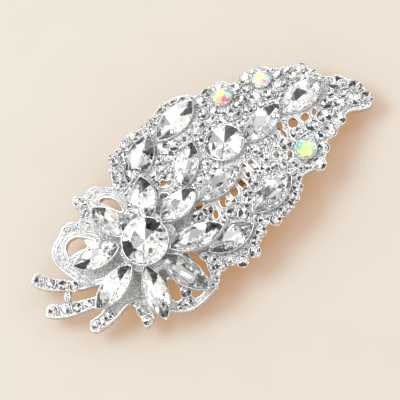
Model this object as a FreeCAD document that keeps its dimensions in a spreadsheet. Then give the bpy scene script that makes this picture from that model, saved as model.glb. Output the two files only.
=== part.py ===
import FreeCAD, Part
import Sketcher
import math
import os

# Rhinestone hair clip: domed openwork casting with set crystals, on a spring barrette clip.
# X runs along the piece towards the leaf tip, Y across it, Z away from the hair.
# Z = 0 is the plane that the closed clip stands on.

V = FreeCAD.Vector
doc = FreeCAD.newDocument("rhinestone_hair_clip")
sheet = doc.addObject("Spreadsheet::Sheet", "dims")
DIMS = [
    ("shift_x", -0.243), ("shift_y", 0.035), ("apex", 14.8),
    ("dome_long", 150.0), ("dome_cross", 62.0), ("plate_thick", 1.6),
    ("cup_top", 1.7), ("cup_floor", 0.3), ("cup_root", 1.0), ("cup_wall", 0.26), ("stone_gap", 0.04),
    ("petal_depth", 1.9), ("petal_wall", 0.26),
    ("hub_rad", 7.6), ("hub_low", 0.9), ("hub_thick", 2.8), ("centre_rad", 6.15), ("centre_base", 3.8), ("centre_rise", 3.6), ("centre_wall", 0.28),
    ("bar_out", 148.15), ("bar_thick", 0.8), ("bar_half", 4.5), ("bar_low", -12.3), ("bar_sweep", 22.2),
    ("arm_in", 139.9), ("arm_thick", 0.8), ("arm_half", 3.4), ("window_half", 2.0), ("slot_half", 2.6),
    ("bow_in", 141.25), ("bow_thick", 0.35), ("bow_half", 3.3),
    ("pin_rad", 0.6), ("pin_ang", -11.6), ("eye_rad", 1.3), ("eye_gap", 0.05), ("knuckle_half", 1.9),
    ("ear_in", 3.6), ("ear_out", 4.4),
    ("rivet_rad", 0.8), ("rivet_head", 1.7), ("rivet_low", -8.6), ("rivet_high", 6.6), ("rivet_gap", 0.03),
]
for row, (name, value) in enumerate(DIMS, 1):
    sheet.set("A%d" % row, name)
    sheet.set("B%d" % row, "%g" % value)
    sheet.setAlias("B%d" % row, name)
doc.recompute()


def dim(name):
    return float(getattr(sheet, name))

# plan outlines of the casting, millimetres from the top of the dome
LEAF = [(-18.15, 11.99), (-17.56, 14.51), (-16.54, 16.74), (-15.41, 18.54), (-14.42, 20.11), (-12.97, 21.3), (-11.65, 22.22), (-9.75, 23.06), (-8.2, 23.81),
 (-6.69, 23.74), (-5.45, 23.03), (-3.94, 22.98), (-2.3, 23.26), (-1.54, 24.35), (-0.12, 24.85), (1.58, 26.05), (2.79, 26.8), (4.53, 26.6),
 (6.4, 26.76), (8.07, 26.42), (9.45, 25.41), (10.97, 24.76), (11.48, 23.18), (12.63, 23.1), (13.93, 23.36), (15.45, 23.45), (17.18, 23.37),
 (18.27, 23.84), (19.86, 23.44), (20.86, 21.73), (21.21, 20.56), (22.52, 20.86), (22.94, 19.24), (24.25, 20.84), (25.06, 22.0), (26.59, 22.17),
 (27.97, 22.01), (29.36, 21.86), (30.88, 21.39), (32.16, 19.78), (33.52, 18.38), (35.34, 17.97), (36.79, 17.41), (38.52, 16.25), (39.96, 15.11),
 (40.44, 13.78), (41.15, 12.93), (41.78, 11.36), (42.19, 9.95), (43.77, 8.63), (45.17, 8.59), (46.48, 7.85), (46.96, 6.1), (48.12, 5.1),
 (49.34, 3.73), (49.47, 1.89), (49.81, -0.02), (49.8, -2.05), (49.06, -3.35), (48.25, -4.27), (46.65, -4.13), (44.76, -3.51), (43.09, -2.98),
 (41.79, -3.29), (40.64, -4.32), (39.35, -5.58), (38.06, -5.87), (36.79, -7.1), (35.15, -7.49), (33.87, -7.75), (33.4, -9.05), (32.22, -10.57),
 (30.97, -11.72), (29.51, -12.75), (28.46, -13.08), (26.91, -12.85), (25.01, -12.72), (23.62, -13.15), (22.47, -14.58), (21.24, -15.65),
 (20.1, -17.04), (18.67, -17.98), (17.51, -18.47), (16.08, -19.38), (14.62, -19.43), (13.38, -19.59), (12.48, -19.65), (10.61, -19.45),
 (9.34, -18.74), (8.57, -18.59), (8.6, -19.44), (7.95, -20.47), (6.67, -21.12), (5.64, -21.37), (5.33, -22.29), (4.26, -23.05), (2.81, -23.05),
 (1.71, -22.97), (0.77, -23.51), (-0.68, -23.5), (-2.29, -22.85), (-4.16, -22.58), (-5.27, -22.48), (-6.16, -22.49), (-6.99, -24.17), (-8.45, -25.45),
 (-10.29, -25.97), (-12.47, -26.55), (-14.73, -26.8), (-17.08, -26.72), (-19.05, -26.08), (-22.03, -24.26), (-21.97, -21.05), (-21.1, -17.44),
 (-21.52, -14.31), (-22.0, -10.17), (-22.62, -6.1), (-21.79, -1.99), (-19.44, 2.81), (-17.08, 6.12), (-17.33, 9.86)]
LIMBS = {'loop1': [(-29.28, 15.92), (-28.26, 16.75), (-26.83, 15.66), (-25.82, 14.39), (-25.09, 15.27), (-23.61, 15.71), (-22.01, 15.07), (-20.28, 13.4),
           (-18.94, 12.28), (-17.52, 10.74), (-16.36, 8.72), (-16.03, 6.35), (-16.19, 3.72), (-18.16, -0.45), (-18.22, -4.87), (-23.52, -2.32),
           (-26.65, 3.32), (-27.82, 5.27), (-28.3, 7.39), (-30.1, 8.87), (-29.19, 11.34), (-28.46, 12.19), (-29.47, 13.43), (-29.78, 14.84)],
 'loop2': [(-27.82, 5.27), (-29.1, 7.69), (-30.66, 9.69), (-32.37, 10.78), (-34.24, 10.94), (-35.56, 10.27), (-36.77, 9.16), (-38.44, 8.46),
           (-39.89, 7.58), (-40.77, 5.9), (-41.07, 4.11), (-40.69, 1.8), (-39.96, -0.41), (-38.92, -3.13), (-37.87, -5.18), (-36.03, -7.47),
           (-34.92, -8.27), (-31.76, -9.34), (-27.63, -9.26), (-21.23, -8.91), (-19.17, -5.45), (-24.69, 1.15)],
 'post': [(-41.88, -3.7), (-40.75, -4.56), (-43.07, -8.33), (-44.2, -7.49)],
 'stem1': [(-48.44, 4.17), (-47.1, 4.73), (-46.02, 4.84), (-45.22, 3.84), (-44.35, 1.79), (-42.77, -0.13), (-39.4, -3.39), (-37.87, -5.18),
           (-34.92, -8.27), (-38.77, -6.67), (-43.39, -3.47), (-46.07, -1.21), (-48.05, 1.19), (-49.07, 3.02)],
 'stem2': [(-48.68, -5.0), (-47.57, -4.3), (-44.62, -6.57), (-40.63, -8.63), (-37.13, -10.27), (-35.77, -10.66), (-32.5, -10.01), (-29.1, -10.62),
           (-31.6, -13.58), (-36.4, -13.15), (-37.99, -12.61), (-41.74, -11.4), (-44.44, -10.47), (-46.88, -9.11), (-49.16, -7.4), (-49.81, -6.29)],
 'stem3': [(-41.61, -16.12), (-40.7, -14.76), (-39.64, -14.64), (-37.58, -14.93), (-35.57, -14.31), (-32.48, -12.97), (-28.23, -11.23),
           (-23.52, -9.13), (-21.57, -10.47), (-25.18, -16.19), (-28.3, -18.08), (-29.6, -17.22), (-30.51, -17.18), (-31.9, -17.38), (-33.9, -18.01),
           (-35.86, -18.09), (-38.05, -18.01), (-40.46, -17.77), (-41.56, -17.01)],
 'stem4': [(-28.21, -14.16), (-23.52, -9.13), (-20.49, -11.2), (-23.67, -15.76), (-25.41, -20.24), (-25.77, -23.01), (-27.33, -23.92),
           (-28.71, -24.12), (-29.36, -23.71), (-29.26, -22.69), (-28.95, -20.44), (-28.69, -18.67), (-29.6, -17.22)]}
WINDOWS = {'h1': [(28.3, 1.95), (29.15, 2.47), (30.33, 1.76), (30.3, 0.42), (29.25, -0.98), (27.64, -0.04)],
 'h10': [(7.07, -6.79), (8.1, -6.5), (8.37, -8.52), (7.39, -9.45), (6.27, -8.9), (6.37, -7.74)],
 'h11': [(3.09, -7.38), (4.75, -7.04), (4.77, -8.74), (4.38, -10.61), (2.53, -10.06)],
 'h12': [(-3.04, -5.57), (-0.86, -6.38), (-1.04, -7.19), (-3.52, -7.42)],
 'h13': [(0.09, -9.74), (1.12, -9.49), (1.11, -10.98), (0.35, -11.99), (-0.48, -11.18)],
 'h14': [(-7.21, 5.22), (-4.44, 4.22), (-5.01, 2.59), (-6.7, 2.79), (-7.99, 3.74)],
 'h16': [(-8.77, 2.28), (-6.75, 0.49), (-8.82, -0.01), (-9.68, 0.61)],
 'h17': [(-19.58, -12.69), (-18.29, -13.55), (-18.0, -15.47), (-19.11, -15.32)],
 'h18': [(-18.39, -17.49), (-17.62, -17.7), (-16.82, -20.15), (-17.0, -22.23), (-18.25, -23.63), (-20.17, -22.45), (-19.17, -20.06)],
 'h19': [(-14.93, -22.28), (-12.23, -24.03), (-11.85, -24.79), (-13.56, -25.11), (-15.1, -24.73), (-15.09, -23.4)],
 'h2': [(31.55, 1.39), (32.94, 2.12), (33.65, 1.36), (33.48, 0.27), (32.09, -0.45), (31.3, 0.17)],
 'h20': [(-10.97, -14.81), (-9.05, -16.02), (-8.13, -18.28), (-8.11, -20.52), (-9.02, -23.24), (-9.61, -22.35), (-9.67, -19.3), (-10.47, -16.84)],
 'h3': [(34.87, 1.51), (35.88, 2.32), (35.98, 1.22), (34.73, -0.28), (34.43, 0.4)],
 'h4': [(25.59, 3.26), (26.62, 3.32), (26.49, 2.02), (25.76, 0.42), (26.27, -0.72), (25.79, -2.09), (24.72, -1.46), (25.3, 0.36), (24.74, 1.38)],
 'h5': [(20.68, -4.09), (21.59, -3.99), (22.17, -4.97), (21.17, -5.97), (20.32, -5.47)],
 'h6': [(23.77, -5.91), (24.71, -5.5), (24.94, -6.58), (24.33, -7.64), (23.49, -7.62), (23.29, -6.89)],
 'h7': [(14.0, -2.74), (15.04, -2.42), (15.64, -4.4), (15.76, -6.21), (14.57, -6.27), (13.98, -4.81)],
 'h8': [(12.1, -2.52), (13.08, -2.32), (13.23, -4.35), (12.91, -6.67), (11.94, -6.85), (11.98, -4.52)],
 'h9': [(8.83, -5.24), (9.97, -5.01), (10.68, -6.55), (10.98, -8.74), (10.05, -9.09), (9.24, -7.52)],
 'l1': [(-23.53, 10.58), (-21.9, 10.69), (-20.35, 9.42), (-19.18, 7.42), (-19.07, 5.25), (-19.18, 3.29), (-20.56, 5.37), (-21.81, 7.75)],
 'l2': [(-36.81, 4.68), (-35.83, 5.92), (-34.64, 6.32), (-32.9, 5.93), (-31.01, 4.06), (-29.47, 2.19), (-28.84, 1.04), (-30.46, 0.97), (-32.4, 1.5),
        (-34.93, 2.16), (-37.05, 1.86)]}
# navette cups of the leaf: centre x, centre y, heading in degrees, length, width over the cup
LEAF_CUPS = {'a': (5.07, -4.55, 8.1, 14.19, 6.81),
 'b': (22.29, 4.13, 21.1, 14.01, 7.01),
 'c': (34.56, 6.07, 15.3, 14.03, 7.77),
 'd': (0.56, 4.19, -129.9, 13.76, 6.4),
 'e': (-8.87, 13.35, -135.1, 15.4, 7.9),
 'f': (4.02, 18.04, -156.9, 14.44, 7.9),
 'g': (15.04, -13.49, -164.0, 14.2, 7.28),
 'h': (0.64, -17.84, 179.8, 13.62, 6.71)}
# navette cups of the flower: outer tip, inner tip, width over the cup
PETAL_CUPS = {1: ([-10.7, 8.08, 2.63], [-15.41, -5.16, 4.23], 7.0),
 2: ([-0.26, -3.41, 3.41], [-12.4, -6.92, 4.34], 6.68),
 3: ([0.94, -15.71, 2.45], [-14.03, -13.59, 3.17], 6.79),
 4: ([-10.36, -26.51, -2.47], [-16.45, -13.71, 2.86], 6.67),
 5: ([-23.62, -26.87, -4.17], [-21.0, -13.48, 2.39], 6.2),
 6: ([-37.62, -14.55, -2.87], [-23.74, -11.77, 2.32], 7.0),
 7: ([-37.19, -1.89, -1.1], [-23.9, -5.95, 3.08], 6.9),
 8: ([-25.58, 8.59, 0.77], [-20.64, -5.52, 3.51], 6.26)}
# round stones: centre x, centre y, radius over the cup
FLOWER = (-17.2, -8.58)
LEAF_ROUND = (11.49, 4.24, 5.17)
AURORA = {1: (17.28, 17.13, 2.8), 2: (28.17, 16.33, 2.75), 3: (27.92, -7.66, 2.8)}
# pave stones: centre x, centre y, girdle radius
PAVE = {'fill': [(12.12, 12.39, 1.25), (23.91, 16.07, 1.25), (18.06, 21.41, 1.25), (32.53, -6.1, 1.25), (17.89, -4.33, 1.25), (14.16, 10.48, 1.25),
          (17.49, 7.16, 1.05), (4.71, 2.04, 1.05), (24.89, 9.64, 1.05), (41.23, 3.87, 1.05), (43.88, 2.05, 1.05), (29.57, 20.38, 1.05),
          (6.46, 8.95, 1.05), (8.43, 24.12, 0.9), (30.18, 9.49, 0.9), (1.59, -0.85, 0.9), (28.43, 8.22, 0.9), (23.02, -0.6, 0.9), (31.69, 18.55, 0.9),
          (-15.91, 6.98, 0.9), (19.36, 7.97, 0.9), (-4.36, 20.0, 0.9), (10.24, 22.58, 0.9), (6.46, 0.24, 0.9), (1.46, -13.12, 0.9),
          (9.97, 10.67, 0.9), (-18.04, 1.89, 0.9), (16.05, 8.8, 0.9), (3.59, -0.3, 0.78), (41.53, 9.09, 0.78), (-19.06, -24.57, 0.78),
          (-1.74, -11.3, 0.78), (-5.86, -0.35, 0.78), (30.15, -4.19, 0.78), (-0.5, 21.31, 0.78), (-8.84, -1.16, 0.78), (13.05, 17.59, 0.78),
          (8.21, 9.81, 0.78), (33.8, 11.26, 0.78), (22.23, -6.44, 0.78), (-2.9, 7.17, 0.78), (-5.62, -10.03, 0.78), (27.44, 20.89, 0.78),
          (-5.07, 1.28, 0.78), (22.23, -2.8, 0.78), (-8.18, -10.01, 0.66), (-0.51, -1.42, 0.66), (-16.62, 5.05, 0.66), (5.17, 3.94, 0.66),
          (39.26, -1.39, 0.66), (4.3, 23.35, 0.66), (19.87, 20.5, 0.66), (19.66, -2.64, 0.66), (6.13, 10.96, 0.66), (-16.17, 8.6, 0.66),
          (18.35, 13.48, 0.66), (-3.31, -10.73, 0.66), (46.54, -3.03, 0.66), (22.0, -10.46, 0.66), (33.7, -4.48, 0.66), (-17.37, 3.51, 0.66),
          (41.46, 1.95, 0.66), (11.78, 10.42, 0.66), (13.99, -1.54, 0.66), (-0.16, 8.89, 0.66), (-13.56, 15.36, 0.66), (27.02, 9.29, 0.66),
          (35.83, 10.98, 0.56), (18.31, -9.04, 0.56), (27.64, 2.73, 0.56), (3.06, 1.03, 0.56), (26.9, -4.09, 0.56), (2.55, 10.26, 0.56),
          (8.53, 15.13, 0.56), (2.29, 22.54, 0.56), (45.33, 3.09, 0.56), (14.27, 19.32, 0.56), (42.92, 8.13, 0.56), (19.0, -0.62, 0.56),
          (2.2, -11.23, 0.56), (7.28, -10.51, 0.56), (-1.19, 8.08, 0.56), (-0.31, -12.7, 0.56), (23.22, 10.06, 0.56), (5.56, 13.3, 0.56),
          (23.32, 8.84, 0.56), (39.81, 10.16, 0.56), (27.15, 1.34, 0.56), (12.04, 22.16, 0.56)],
 'inner_left': [(-2.58, 19.22, 0.84), (-2.33, 13.03, 1.49), (0.63, 11.62, 1.59), (-2.03, 10.04, 1.44), (-4.7, 9.8, 1.17), (-5.01, 7.53, 1.06),
                (-7.31, 7.04, 1.23), (-4.96, 5.18, 1.23), (-8.96, 4.88, 1.43)],
 'lattice': [(17.74, -1.86, 1.14), (20.74, -1.08, 1.14), (15.96, -0.41, 0.89), (5.21, -10.02, 1.22), (6.41, -11.88, 0.93), (3.82, -12.67, 1.35),
             (6.34, -14.28, 1.41), (-0.71, -8.81, 1.27), (-3.55, -8.65, 1.27)],
 'left_edge': [(6.27, 24.68, 1.01), (4.38, 25.07, 0.87), (2.47, 24.39, 1.09), (0.43, 23.47, 1.08), (-1.79, 22.93, 1.11), (-2.75, 21.05, 0.94),
               (-4.1, 22.43, 0.92), (-7.01, 21.46, 1.51), (-9.28, 22.67, 0.98), (-10.04, 20.3, 1.45), (-12.67, 19.79, 1.15), (-14.86, 19.79, 0.97),
               (-12.09, 17.63, 1.04), (-14.52, 17.41, 1.33), (-16.39, 15.97, 0.97), (-15.79, 13.53, 1.48), (-16.33, 10.78, 1.25)],
 'lower': [(-7.46, -17.82, 0.98), (-7.45, -21.1, 0.96), (-6.15, -19.44, 1.04), (-5.05, -21.77, 1.47), (-2.24, -21.99, 1.29), (-0.01, -23.64, 1.42),
           (3.82, -23.24, 1.43), (5.44, -21.09, 1.18), (7.72, -19.89, 1.32), (7.79, -16.54, 1.09), (1.75, -21.99, 0.93)],
 'ribbon': [(-6.98, -22.93, 0.72), (-8.0, -24.07, 0.75), (-9.29, -25.12, 0.76), (-16.05, -22.56, 1.27), (-16.9, -25.13, 1.14), (-46.71, 2.38, 1.32),
            (-44.27, -0.41, 1.27), (-41.91, -2.9, 1.27), (-39.45, -5.09, 1.27), (-42.43, -6.24, 0.63), (-47.34, -6.65, 1.32), (-44.43, -8.39, 1.27),
            (-41.6, -9.88, 1.35), (-38.59, -11.02, 1.14), (-39.58, -16.7, 1.27), (-37.12, -17.05, 1.13), (-35.11, -16.55, 0.88),
            (-28.0, -20.37, 1.14), (-27.81, -22.83, 1.26), (-26.84, 12.6, 1.09), (-28.06, 14.41, 1.02), (-28.11, 10.3, 1.0), (-29.12, 8.64, 0.88),
            (-35.42, 9.17, 0.6), (-34.1, 9.54, 0.66), (-32.61, 9.28, 0.66), (-31.3, 8.36, 0.6)],
 'right': [(12.52, -8.48, 1.27), (9.93, -9.96, 1.25), (8.63, -12.16, 1.24), (14.53, -7.05, 0.99), (16.78, -7.11, 1.2), (19.11, -7.27, 1.08),
           (20.99, -8.45, 1.08), (23.21, -8.5, 1.08), (23.97, -10.7, 1.18), (26.23, -11.25, 1.08), (22.63, -12.63, 1.11), (21.23, -15.03, 1.25),
           (19.3, -16.74, 1.22), (17.13, -17.88, 1.17), (14.79, -18.39, 1.16), (12.32, -19.25, 1.39), (9.78, -18.04, 1.33)],
 'tip': [(48.62, -1.48, 1.55), (45.4, -0.54, 1.74), (47.74, 2.72, 1.65), (43.97, 5.66, 2.04), (41.9, -0.48, 1.71), (38.75, 1.49, 1.58),
         (36.53, -1.65, 1.81), (39.33, -3.89, 1.71), (35.77, -5.82, 1.73), (32.68, -2.34, 1.6), (28.31, -2.31, 1.58), (32.03, -9.07, 1.51),
         (28.92, -12.25, 1.72), (24.55, -3.69, 1.58)],
 'top': [(25.09, 19.68, 1.77), (32.44, 16.04, 1.49), (31.37, 12.58, 1.78), (35.22, 16.25, 1.24), (35.52, 13.35, 1.61), (38.51, 14.98, 1.63),
         (38.29, 11.77, 1.52), (40.87, 11.58, 1.0), (21.66, 18.04, 1.64), (20.85, 13.72, 1.78), (24.64, 12.42, 1.64), (27.73, 11.52, 1.51),
         (14.77, 21.57, 1.49), (12.17, 20.03, 1.47), (17.7, 11.14, 1.65), (21.26, 10.17, 1.27), (10.97, 16.0, 1.56), (13.53, 14.86, 1.18),
         (14.79, 12.88, 1.1), (8.11, 12.73, 1.77), (4.32, 11.8, 1.26)]}

RL, RC, THICK = dim("dome_long"), dim("dome_cross"), dim("plate_thick")
BASE = V(dim("shift_x"), dim("shift_y"), dim("apex"))


def dome_z(x, y, up=0.0):
    a = (RL - RC) + math.sqrt((RC + up) ** 2 - y * y)
    return -RL + math.sqrt(a * a - x * x)


def dome_normal(x, y):
    """Outward normal of the doubly curved dome at plan position x, y."""
    d = V(x, 0, dome_z(x, y) + RL)
    d.normalize()
    n = V(x, y, dome_z(x, y)) - (d * (RL - RC) - V(0, 0, RL))
    n.normalize()
    return n


def blend(n, k):
    v = n * k + V(0, 0, 1 - k)
    v.normalize()
    return v


def frame_at(origin, normal, heading):
    """Placement whose Z is the normal and whose X lies along the heading."""
    x = heading - normal * heading.dot(normal)
    x.normalize()
    y = normal.cross(x)
    return FreeCAD.Placement(FreeCAD.Matrix(
        x.x, y.x, normal.x, origin.x,
        x.y, y.y, normal.y, origin.y,
        x.z, y.z, normal.z, origin.z, 0, 0, 0, 1))


def navette_face(length, width, z):
    a, b, top, low = V(-length / 2, 0, z), V(length / 2, 0, z), V(0, width / 2, z), V(0, -width / 2, z)
    return Part.Face(Part.Wire([Part.Arc(a, low, b).toShape(), Part.Arc(b, top, a).toShape()]))


def navette_prism(length, width, z0, z1):
    return navette_face(length, width, z0).extrude(V(0, 0, z1 - z0))


def navette_ring(length, width, count=12):
    """Corner points of a navette, count in all, tips included."""
    rad = (length ** 2 + width ** 2) / (4.0 * width)
    half = math.asin(length / 2 / rad)
    pts = []
    n = count // 2
    for i in range(n):
        a = -half + 2 * half * i / n
        pts.append((rad * math.sin(a), -(rad * math.cos(a) - (rad - width / 2))))
    return pts + [(-x, -y) for x, y in pts]


def round_ring(rad, count=16):
    return [(rad * math.cos(2 * math.pi * i / count), rad * math.sin(2 * math.pi * i / count)) for i in range(count)]


def cut_stone(ring, levels):
    """Closed faceted stone: the ring scaled by each level's factor at that level's height."""
    rows = [[V(x * k, y * k, z) for x, y in ring] for k, z in levels]
    faces = [Part.Face(Part.makePolygon(rows[0] + rows[0][:1])), Part.Face(Part.makePolygon(rows[-1] + rows[-1][:1]))]
    n = len(ring)
    for low, high in zip(rows, rows[1:]):
        for i in range(n):
            j = (i + 1) % n
            faces.append(Part.Face(Part.makePolygon([low[i], low[j], high[j], high[i], low[i]])))
    shell = Part.makeShell(faces)
    shell.sewShape()
    solid = Part.makeSolid(shell)
    if solid.Volume < 0:
        solid.reverse()
    return solid


def placed(shape, place):
    out = shape.copy()
    out.Placement = place.multiply(out.Placement)
    return out


NODES = []


def node(name, shape, base=None):
    obj = doc.addObject("Part::Feature", name)
    obj.Label = name
    obj.Shape = shape
    obj.Placement = FreeCAD.Placement(BASE if base is None else base, FreeCAD.Rotation()).multiply(shape.Placement)
    NODES.append(obj)
    return obj


# ---------------------------------------------------------------- leaf casting
profile_out = Part.Arc(V(0, -30, -RC + math.sqrt(RC ** 2 - 900)), V(0, 0, 0), V(0, 30, -RC + math.sqrt(RC ** 2 - 900))).toShape()
ri = RC - THICK
yi = 30 * ri / RC
zi = -RC + math.sqrt(ri ** 2 - yi ** 2)
profile_in = Part.Arc(V(0, yi, zi), V(0, 0, -THICK), V(0, -yi, zi)).toShape()
ends = [Part.LineSegment(V(0, 30, -RC + math.sqrt(RC ** 2 - 900)), V(0, yi, zi)).toShape(),
        Part.LineSegment(V(0, -yi, zi), V(0, -30, -RC + math.sqrt(RC ** 2 - 900))).toShape()]
section = Part.Face(Part.Wire([profile_out, ends[0], profile_in, ends[1]]))
section.rotate(V(0, 0, -RL), V(0, 1, 0), -24)
shell_solid = section.revolve(V(0, 0, -RL), V(0, 1, 0), 48)


def plan_face(points):
    pts = [V(x, y, -25) for x, y in points]
    return Part.Face(Part.makePolygon(pts + pts[:1]))


plan = plan_face(LEAF).multiFuse([plan_face(p) for p in LIMBS.values()])
plan = plan.cut(Part.makeCompound([plan_face(p) for p in WINDOWS.values()])).removeSplitter()
plan_solid = Part.makeCompound([f.extrude(V(0, 0, 40)) for f in plan.Faces])
plate = shell_solid.common(plan_solid)

CUP_TOP, CUP_FLOOR, CUP_ROOT, CUP_WALL = dim("cup_top"), dim("cup_floor"), dim("cup_root"), dim("cup_wall")
GAP = dim("stone_gap")
add, cut = [], []
stones = {}


def on_dome(x, y, heading, k):
    return frame_at(V(x, y, dome_z(x, y)), blend(dome_normal(x, y), k), V(math.cos(math.radians(heading)), math.sin(math.radians(heading)), 0))


NAV_LEVELS = [(0.30, CUP_FLOOR), (1.0, CUP_TOP - 0.15), (1.0, CUP_TOP + 0.1), (0.80, CUP_TOP + 0.75), (0.50, CUP_TOP + 1.15)]
for key, (cx, cy, head, length, width) in LEAF_CUPS.items():
    at = on_dome(cx, cy, head, 0.5)
    add.append(placed(navette_prism(length, width, -CUP_ROOT, CUP_TOP), at))
    li, wi = length - 3.2 * CUP_WALL, width - 2 * CUP_WALL
    cut.append(placed(navette_prism(li, wi, CUP_FLOOR, CUP_TOP + 1), at))
    stones["leaf_navette_" + key] = placed(cut_stone(navette_ring(li - 3 * GAP, wi - 2 * GAP), NAV_LEVELS), at)

ROUND_LEVELS = [(0.25, CUP_FLOOR), (1.0, CUP_TOP - 0.15), (1.0, CUP_TOP + 0.1), (0.80, CUP_TOP + 0.9), (0.52, CUP_TOP + 1.4)]
rounds = [("leaf_round_stone", LEAF_ROUND, 0.7)] + [("aurora_stone_%d" % i, a, 0.8) for i, a in AURORA.items()]
for name, (cx, cy, rad), k in rounds:
    at = on_dome(cx, cy, 0, k)
    add.append(placed(Part.makeCylinder(rad, CUP_TOP + CUP_ROOT, V(0, 0, -CUP_ROOT)), at))
    cut.append(placed(Part.makeCylinder(rad - CUP_WALL, 3, V(0, 0, CUP_FLOOR)), at))
    levels = ROUND_LEVELS if rad > 4 else [(f, CUP_FLOOR + (z - CUP_FLOOR) * 0.9) for f, z in ROUND_LEVELS]
    stones[name] = placed(cut_stone(round_ring(rad - CUP_WALL - GAP), levels), at)

fx, fy = FLOWER
flower_at = on_dome(fx, fy, 0, 1.0)
HUB_LOW = dim("hub_low")
HUB_TOP = HUB_LOW + dim("hub_thick")
add.append(placed(Part.makeCylinder(4.2, HUB_LOW + 0.8, V(0, 0, -0.8)), flower_at))
cut.append(placed(Part.makeCylinder(dim("rivet_rad") + 0.03, HUB_LOW + 2, V(0, 0, -1.0)), flower_at))

# clip seats: two bosses under the plate, finished to the curve of the base bar
RIVETS = (dim("rivet_low"), dim("rivet_high"))


def at_angle(deg, rad, y=0.0):
    """Placement on the clip's arc: Z radial, X along the piece."""
    a = math.radians(deg)
    place = FreeCAD.Placement(V(rad * math.sin(a), y, -RL + rad * math.cos(a)), FreeCAD.Rotation(V(0, 1, 0), deg))
    return place


for ang in RIVETS:
    add.append(placed(Part.makeCylinder(2.8, 2.2, V(0, 0, 0)), at_angle(ang, RL - 2.7)))
    cut.append(placed(Part.makeCylinder(dim("rivet_rad") + dim("rivet_gap"), 3.3, V(0, 0, 0)), at_angle(ang, 146.0)))


def arc_plate(r0, r1, y0, y1, a0, a1):
    """Curved strip of the clip between two radii, two widths and two angles."""
    p = [V(0, y0, r0 - RL), V(0, y1, r0 - RL), V(0, y1, r1 - RL), V(0, y0, r1 - RL)]
    f = Part.Face(Part.makePolygon(p + p[:1]))
    f.rotate(V(0, 0, -RL), V(0, 1, 0), a0)
    return f.revolve(V(0, 0, -RL), V(0, 1, 0), a1 - a0)


BAR_OUT, BAR_T, BAR_H = dim("bar_out"), dim("bar_thick"), dim("bar_half")
seat_cut = arc_plate(BAR_OUT - 4, BAR_OUT, -4.6, 4.6, -15, 15)
casting = plate.multiFuse(add).cut(Part.makeCompound(cut)).cut(seat_cut).removeSplitter()
print("casting solids", len(casting.Solids), [round(x.Volume, 2) for x in casting.Solids])
casting = max(casting.Solids, key=lambda q: q.Volume)
node("leaf_casting", casting)

# ---------------------------------------------------------------- flower
PD, PW = dim("petal_depth"), dim("petal_wall")
petal_add, petal_cut = [], []
for i, (outer, inner, width) in PETAL_CUPS.items():
    a, b = V(*outer), V(*inner)
    t = b - a
    length = t.Length
    t.normalize()
    n = V(0, 0, 1) - t * t.z
    n.normalize()
    at = frame_at((a + b) * 0.5, n, t)
    petal_add.append(placed(navette_prism(length, width, -PD, 0), at))
    li, wi = length - 3.2 * PW, width - 2 * PW
    petal_cut.append(placed(navette_prism(li, wi, -PD + 0.5, 1), at))
    stones["petal_stone_%d" % i] = placed(cut_stone(navette_ring(li - 3 * GAP, wi - 2 * GAP), [(0.3, -PD + 0.5), (1.0, -0.15), (1.0, 0.1), (0.8, 0.75), (0.5, 1.15)]), at)
hub = placed(Part.makeCylinder(dim("hub_rad"), dim("hub_thick"), V(0, 0, HUB_LOW)), flower_at)
flower = hub.multiFuse(petal_add)
bore = placed(Part.makeCylinder(dim("rivet_rad") + 0.03, 8, V(0, 0, 0)), flower_at)
flower = flower.cut(Part.makeCompound(petal_cut + [bore])).removeSplitter()
print("flower solids", len(flower.Solids), [round(x.Volume, 2) for x in flower.Solids])
node("flower_setting", max(flower.Solids, key=lambda q: q.Volume))

# centre cup, turned: foot, flare and rim, with a counterbore for the rivet head
foot, rim, rise = dim("centre_base"), dim("centre_rad"), dim("centre_rise")


CUP_Z = HUB_TOP
cup_body = doc.addObject("PartDesign::Body", "centre_cup_body")
cup_body.Label = "centre_cup"
sk = cup_body.newObject("Sketcher::SketchObject", "cup_profile")
plane = [o for o in cup_body.Origin.OriginFeatures if o.Role == "XZ_Plane"][0]
sk.AttachmentSupport = [(plane, "")]
sk.MapMode = "FlatFace"
outline = [("0", "0"), ("dims.centre_base", "0"), ("dims.centre_base", "1.6"), ("dims.centre_rad", "2.8"),
           ("dims.centre_rad", "dims.centre_rise"), ("dims.centre_rad - dims.centre_wall", "dims.centre_rise"),
           ("dims.centre_rad - dims.centre_wall", "2.95"), ("3.2", "1.5"), ("3.2", "1.2"), ("1.85", "1.2"), ("1.85", "0.6"), ("0", "0.6")]


def number(text):
    """Value of a cell, a number, or a cell minus a number."""
    parts = text.split(" - ")
    vals = [dim(p[5:]) if p.startswith("dims.") else float(p) for p in parts]
    return vals[0] - sum(vals[1:])


pts = [V(number(a), number(z), 0) for a, z in outline]
for k in range(len(pts)):
    sk.addGeometry(Part.LineSegment(pts[k], pts[(k + 1) % len(pts)]), False)
for k in range(len(pts)):
    sk.addConstraint(Sketcher.Constraint("Coincident", k, 2, (k + 1) % len(pts), 1))
for k, (a, z) in enumerate(outline):
    n = sk.addConstraint(Sketcher.Constraint("DistanceX", -1, 1, k, 1, pts[k].x))
    if a.startswith("dims."):
        sk.setExpression("Constraints[%d]" % n, a)
    n = sk.addConstraint(Sketcher.Constraint("DistanceY", -1, 1, k, 1, pts[k].y))
    if z.startswith("dims."):
        sk.setExpression("Constraints[%d]" % n, z)
rev = cup_body.newObject("PartDesign::Revolution", "cup_turned")
rev.Profile = sk
rev.ReferenceAxis = (sk, ["V_Axis"])
rev.Angle = 360
doc.recompute()
drill = cup_body.newObject("PartDesign::SubtractiveCylinder", "cup_drill")
drill.setExpression("Radius", "dims.rivet_rad + dims.rivet_gap")
drill.Height = 4
drill.Placement = FreeCAD.Placement(V(0, 0, -1), FreeCAD.Rotation())
cup_body.Tip = drill
doc.recompute()
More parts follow.
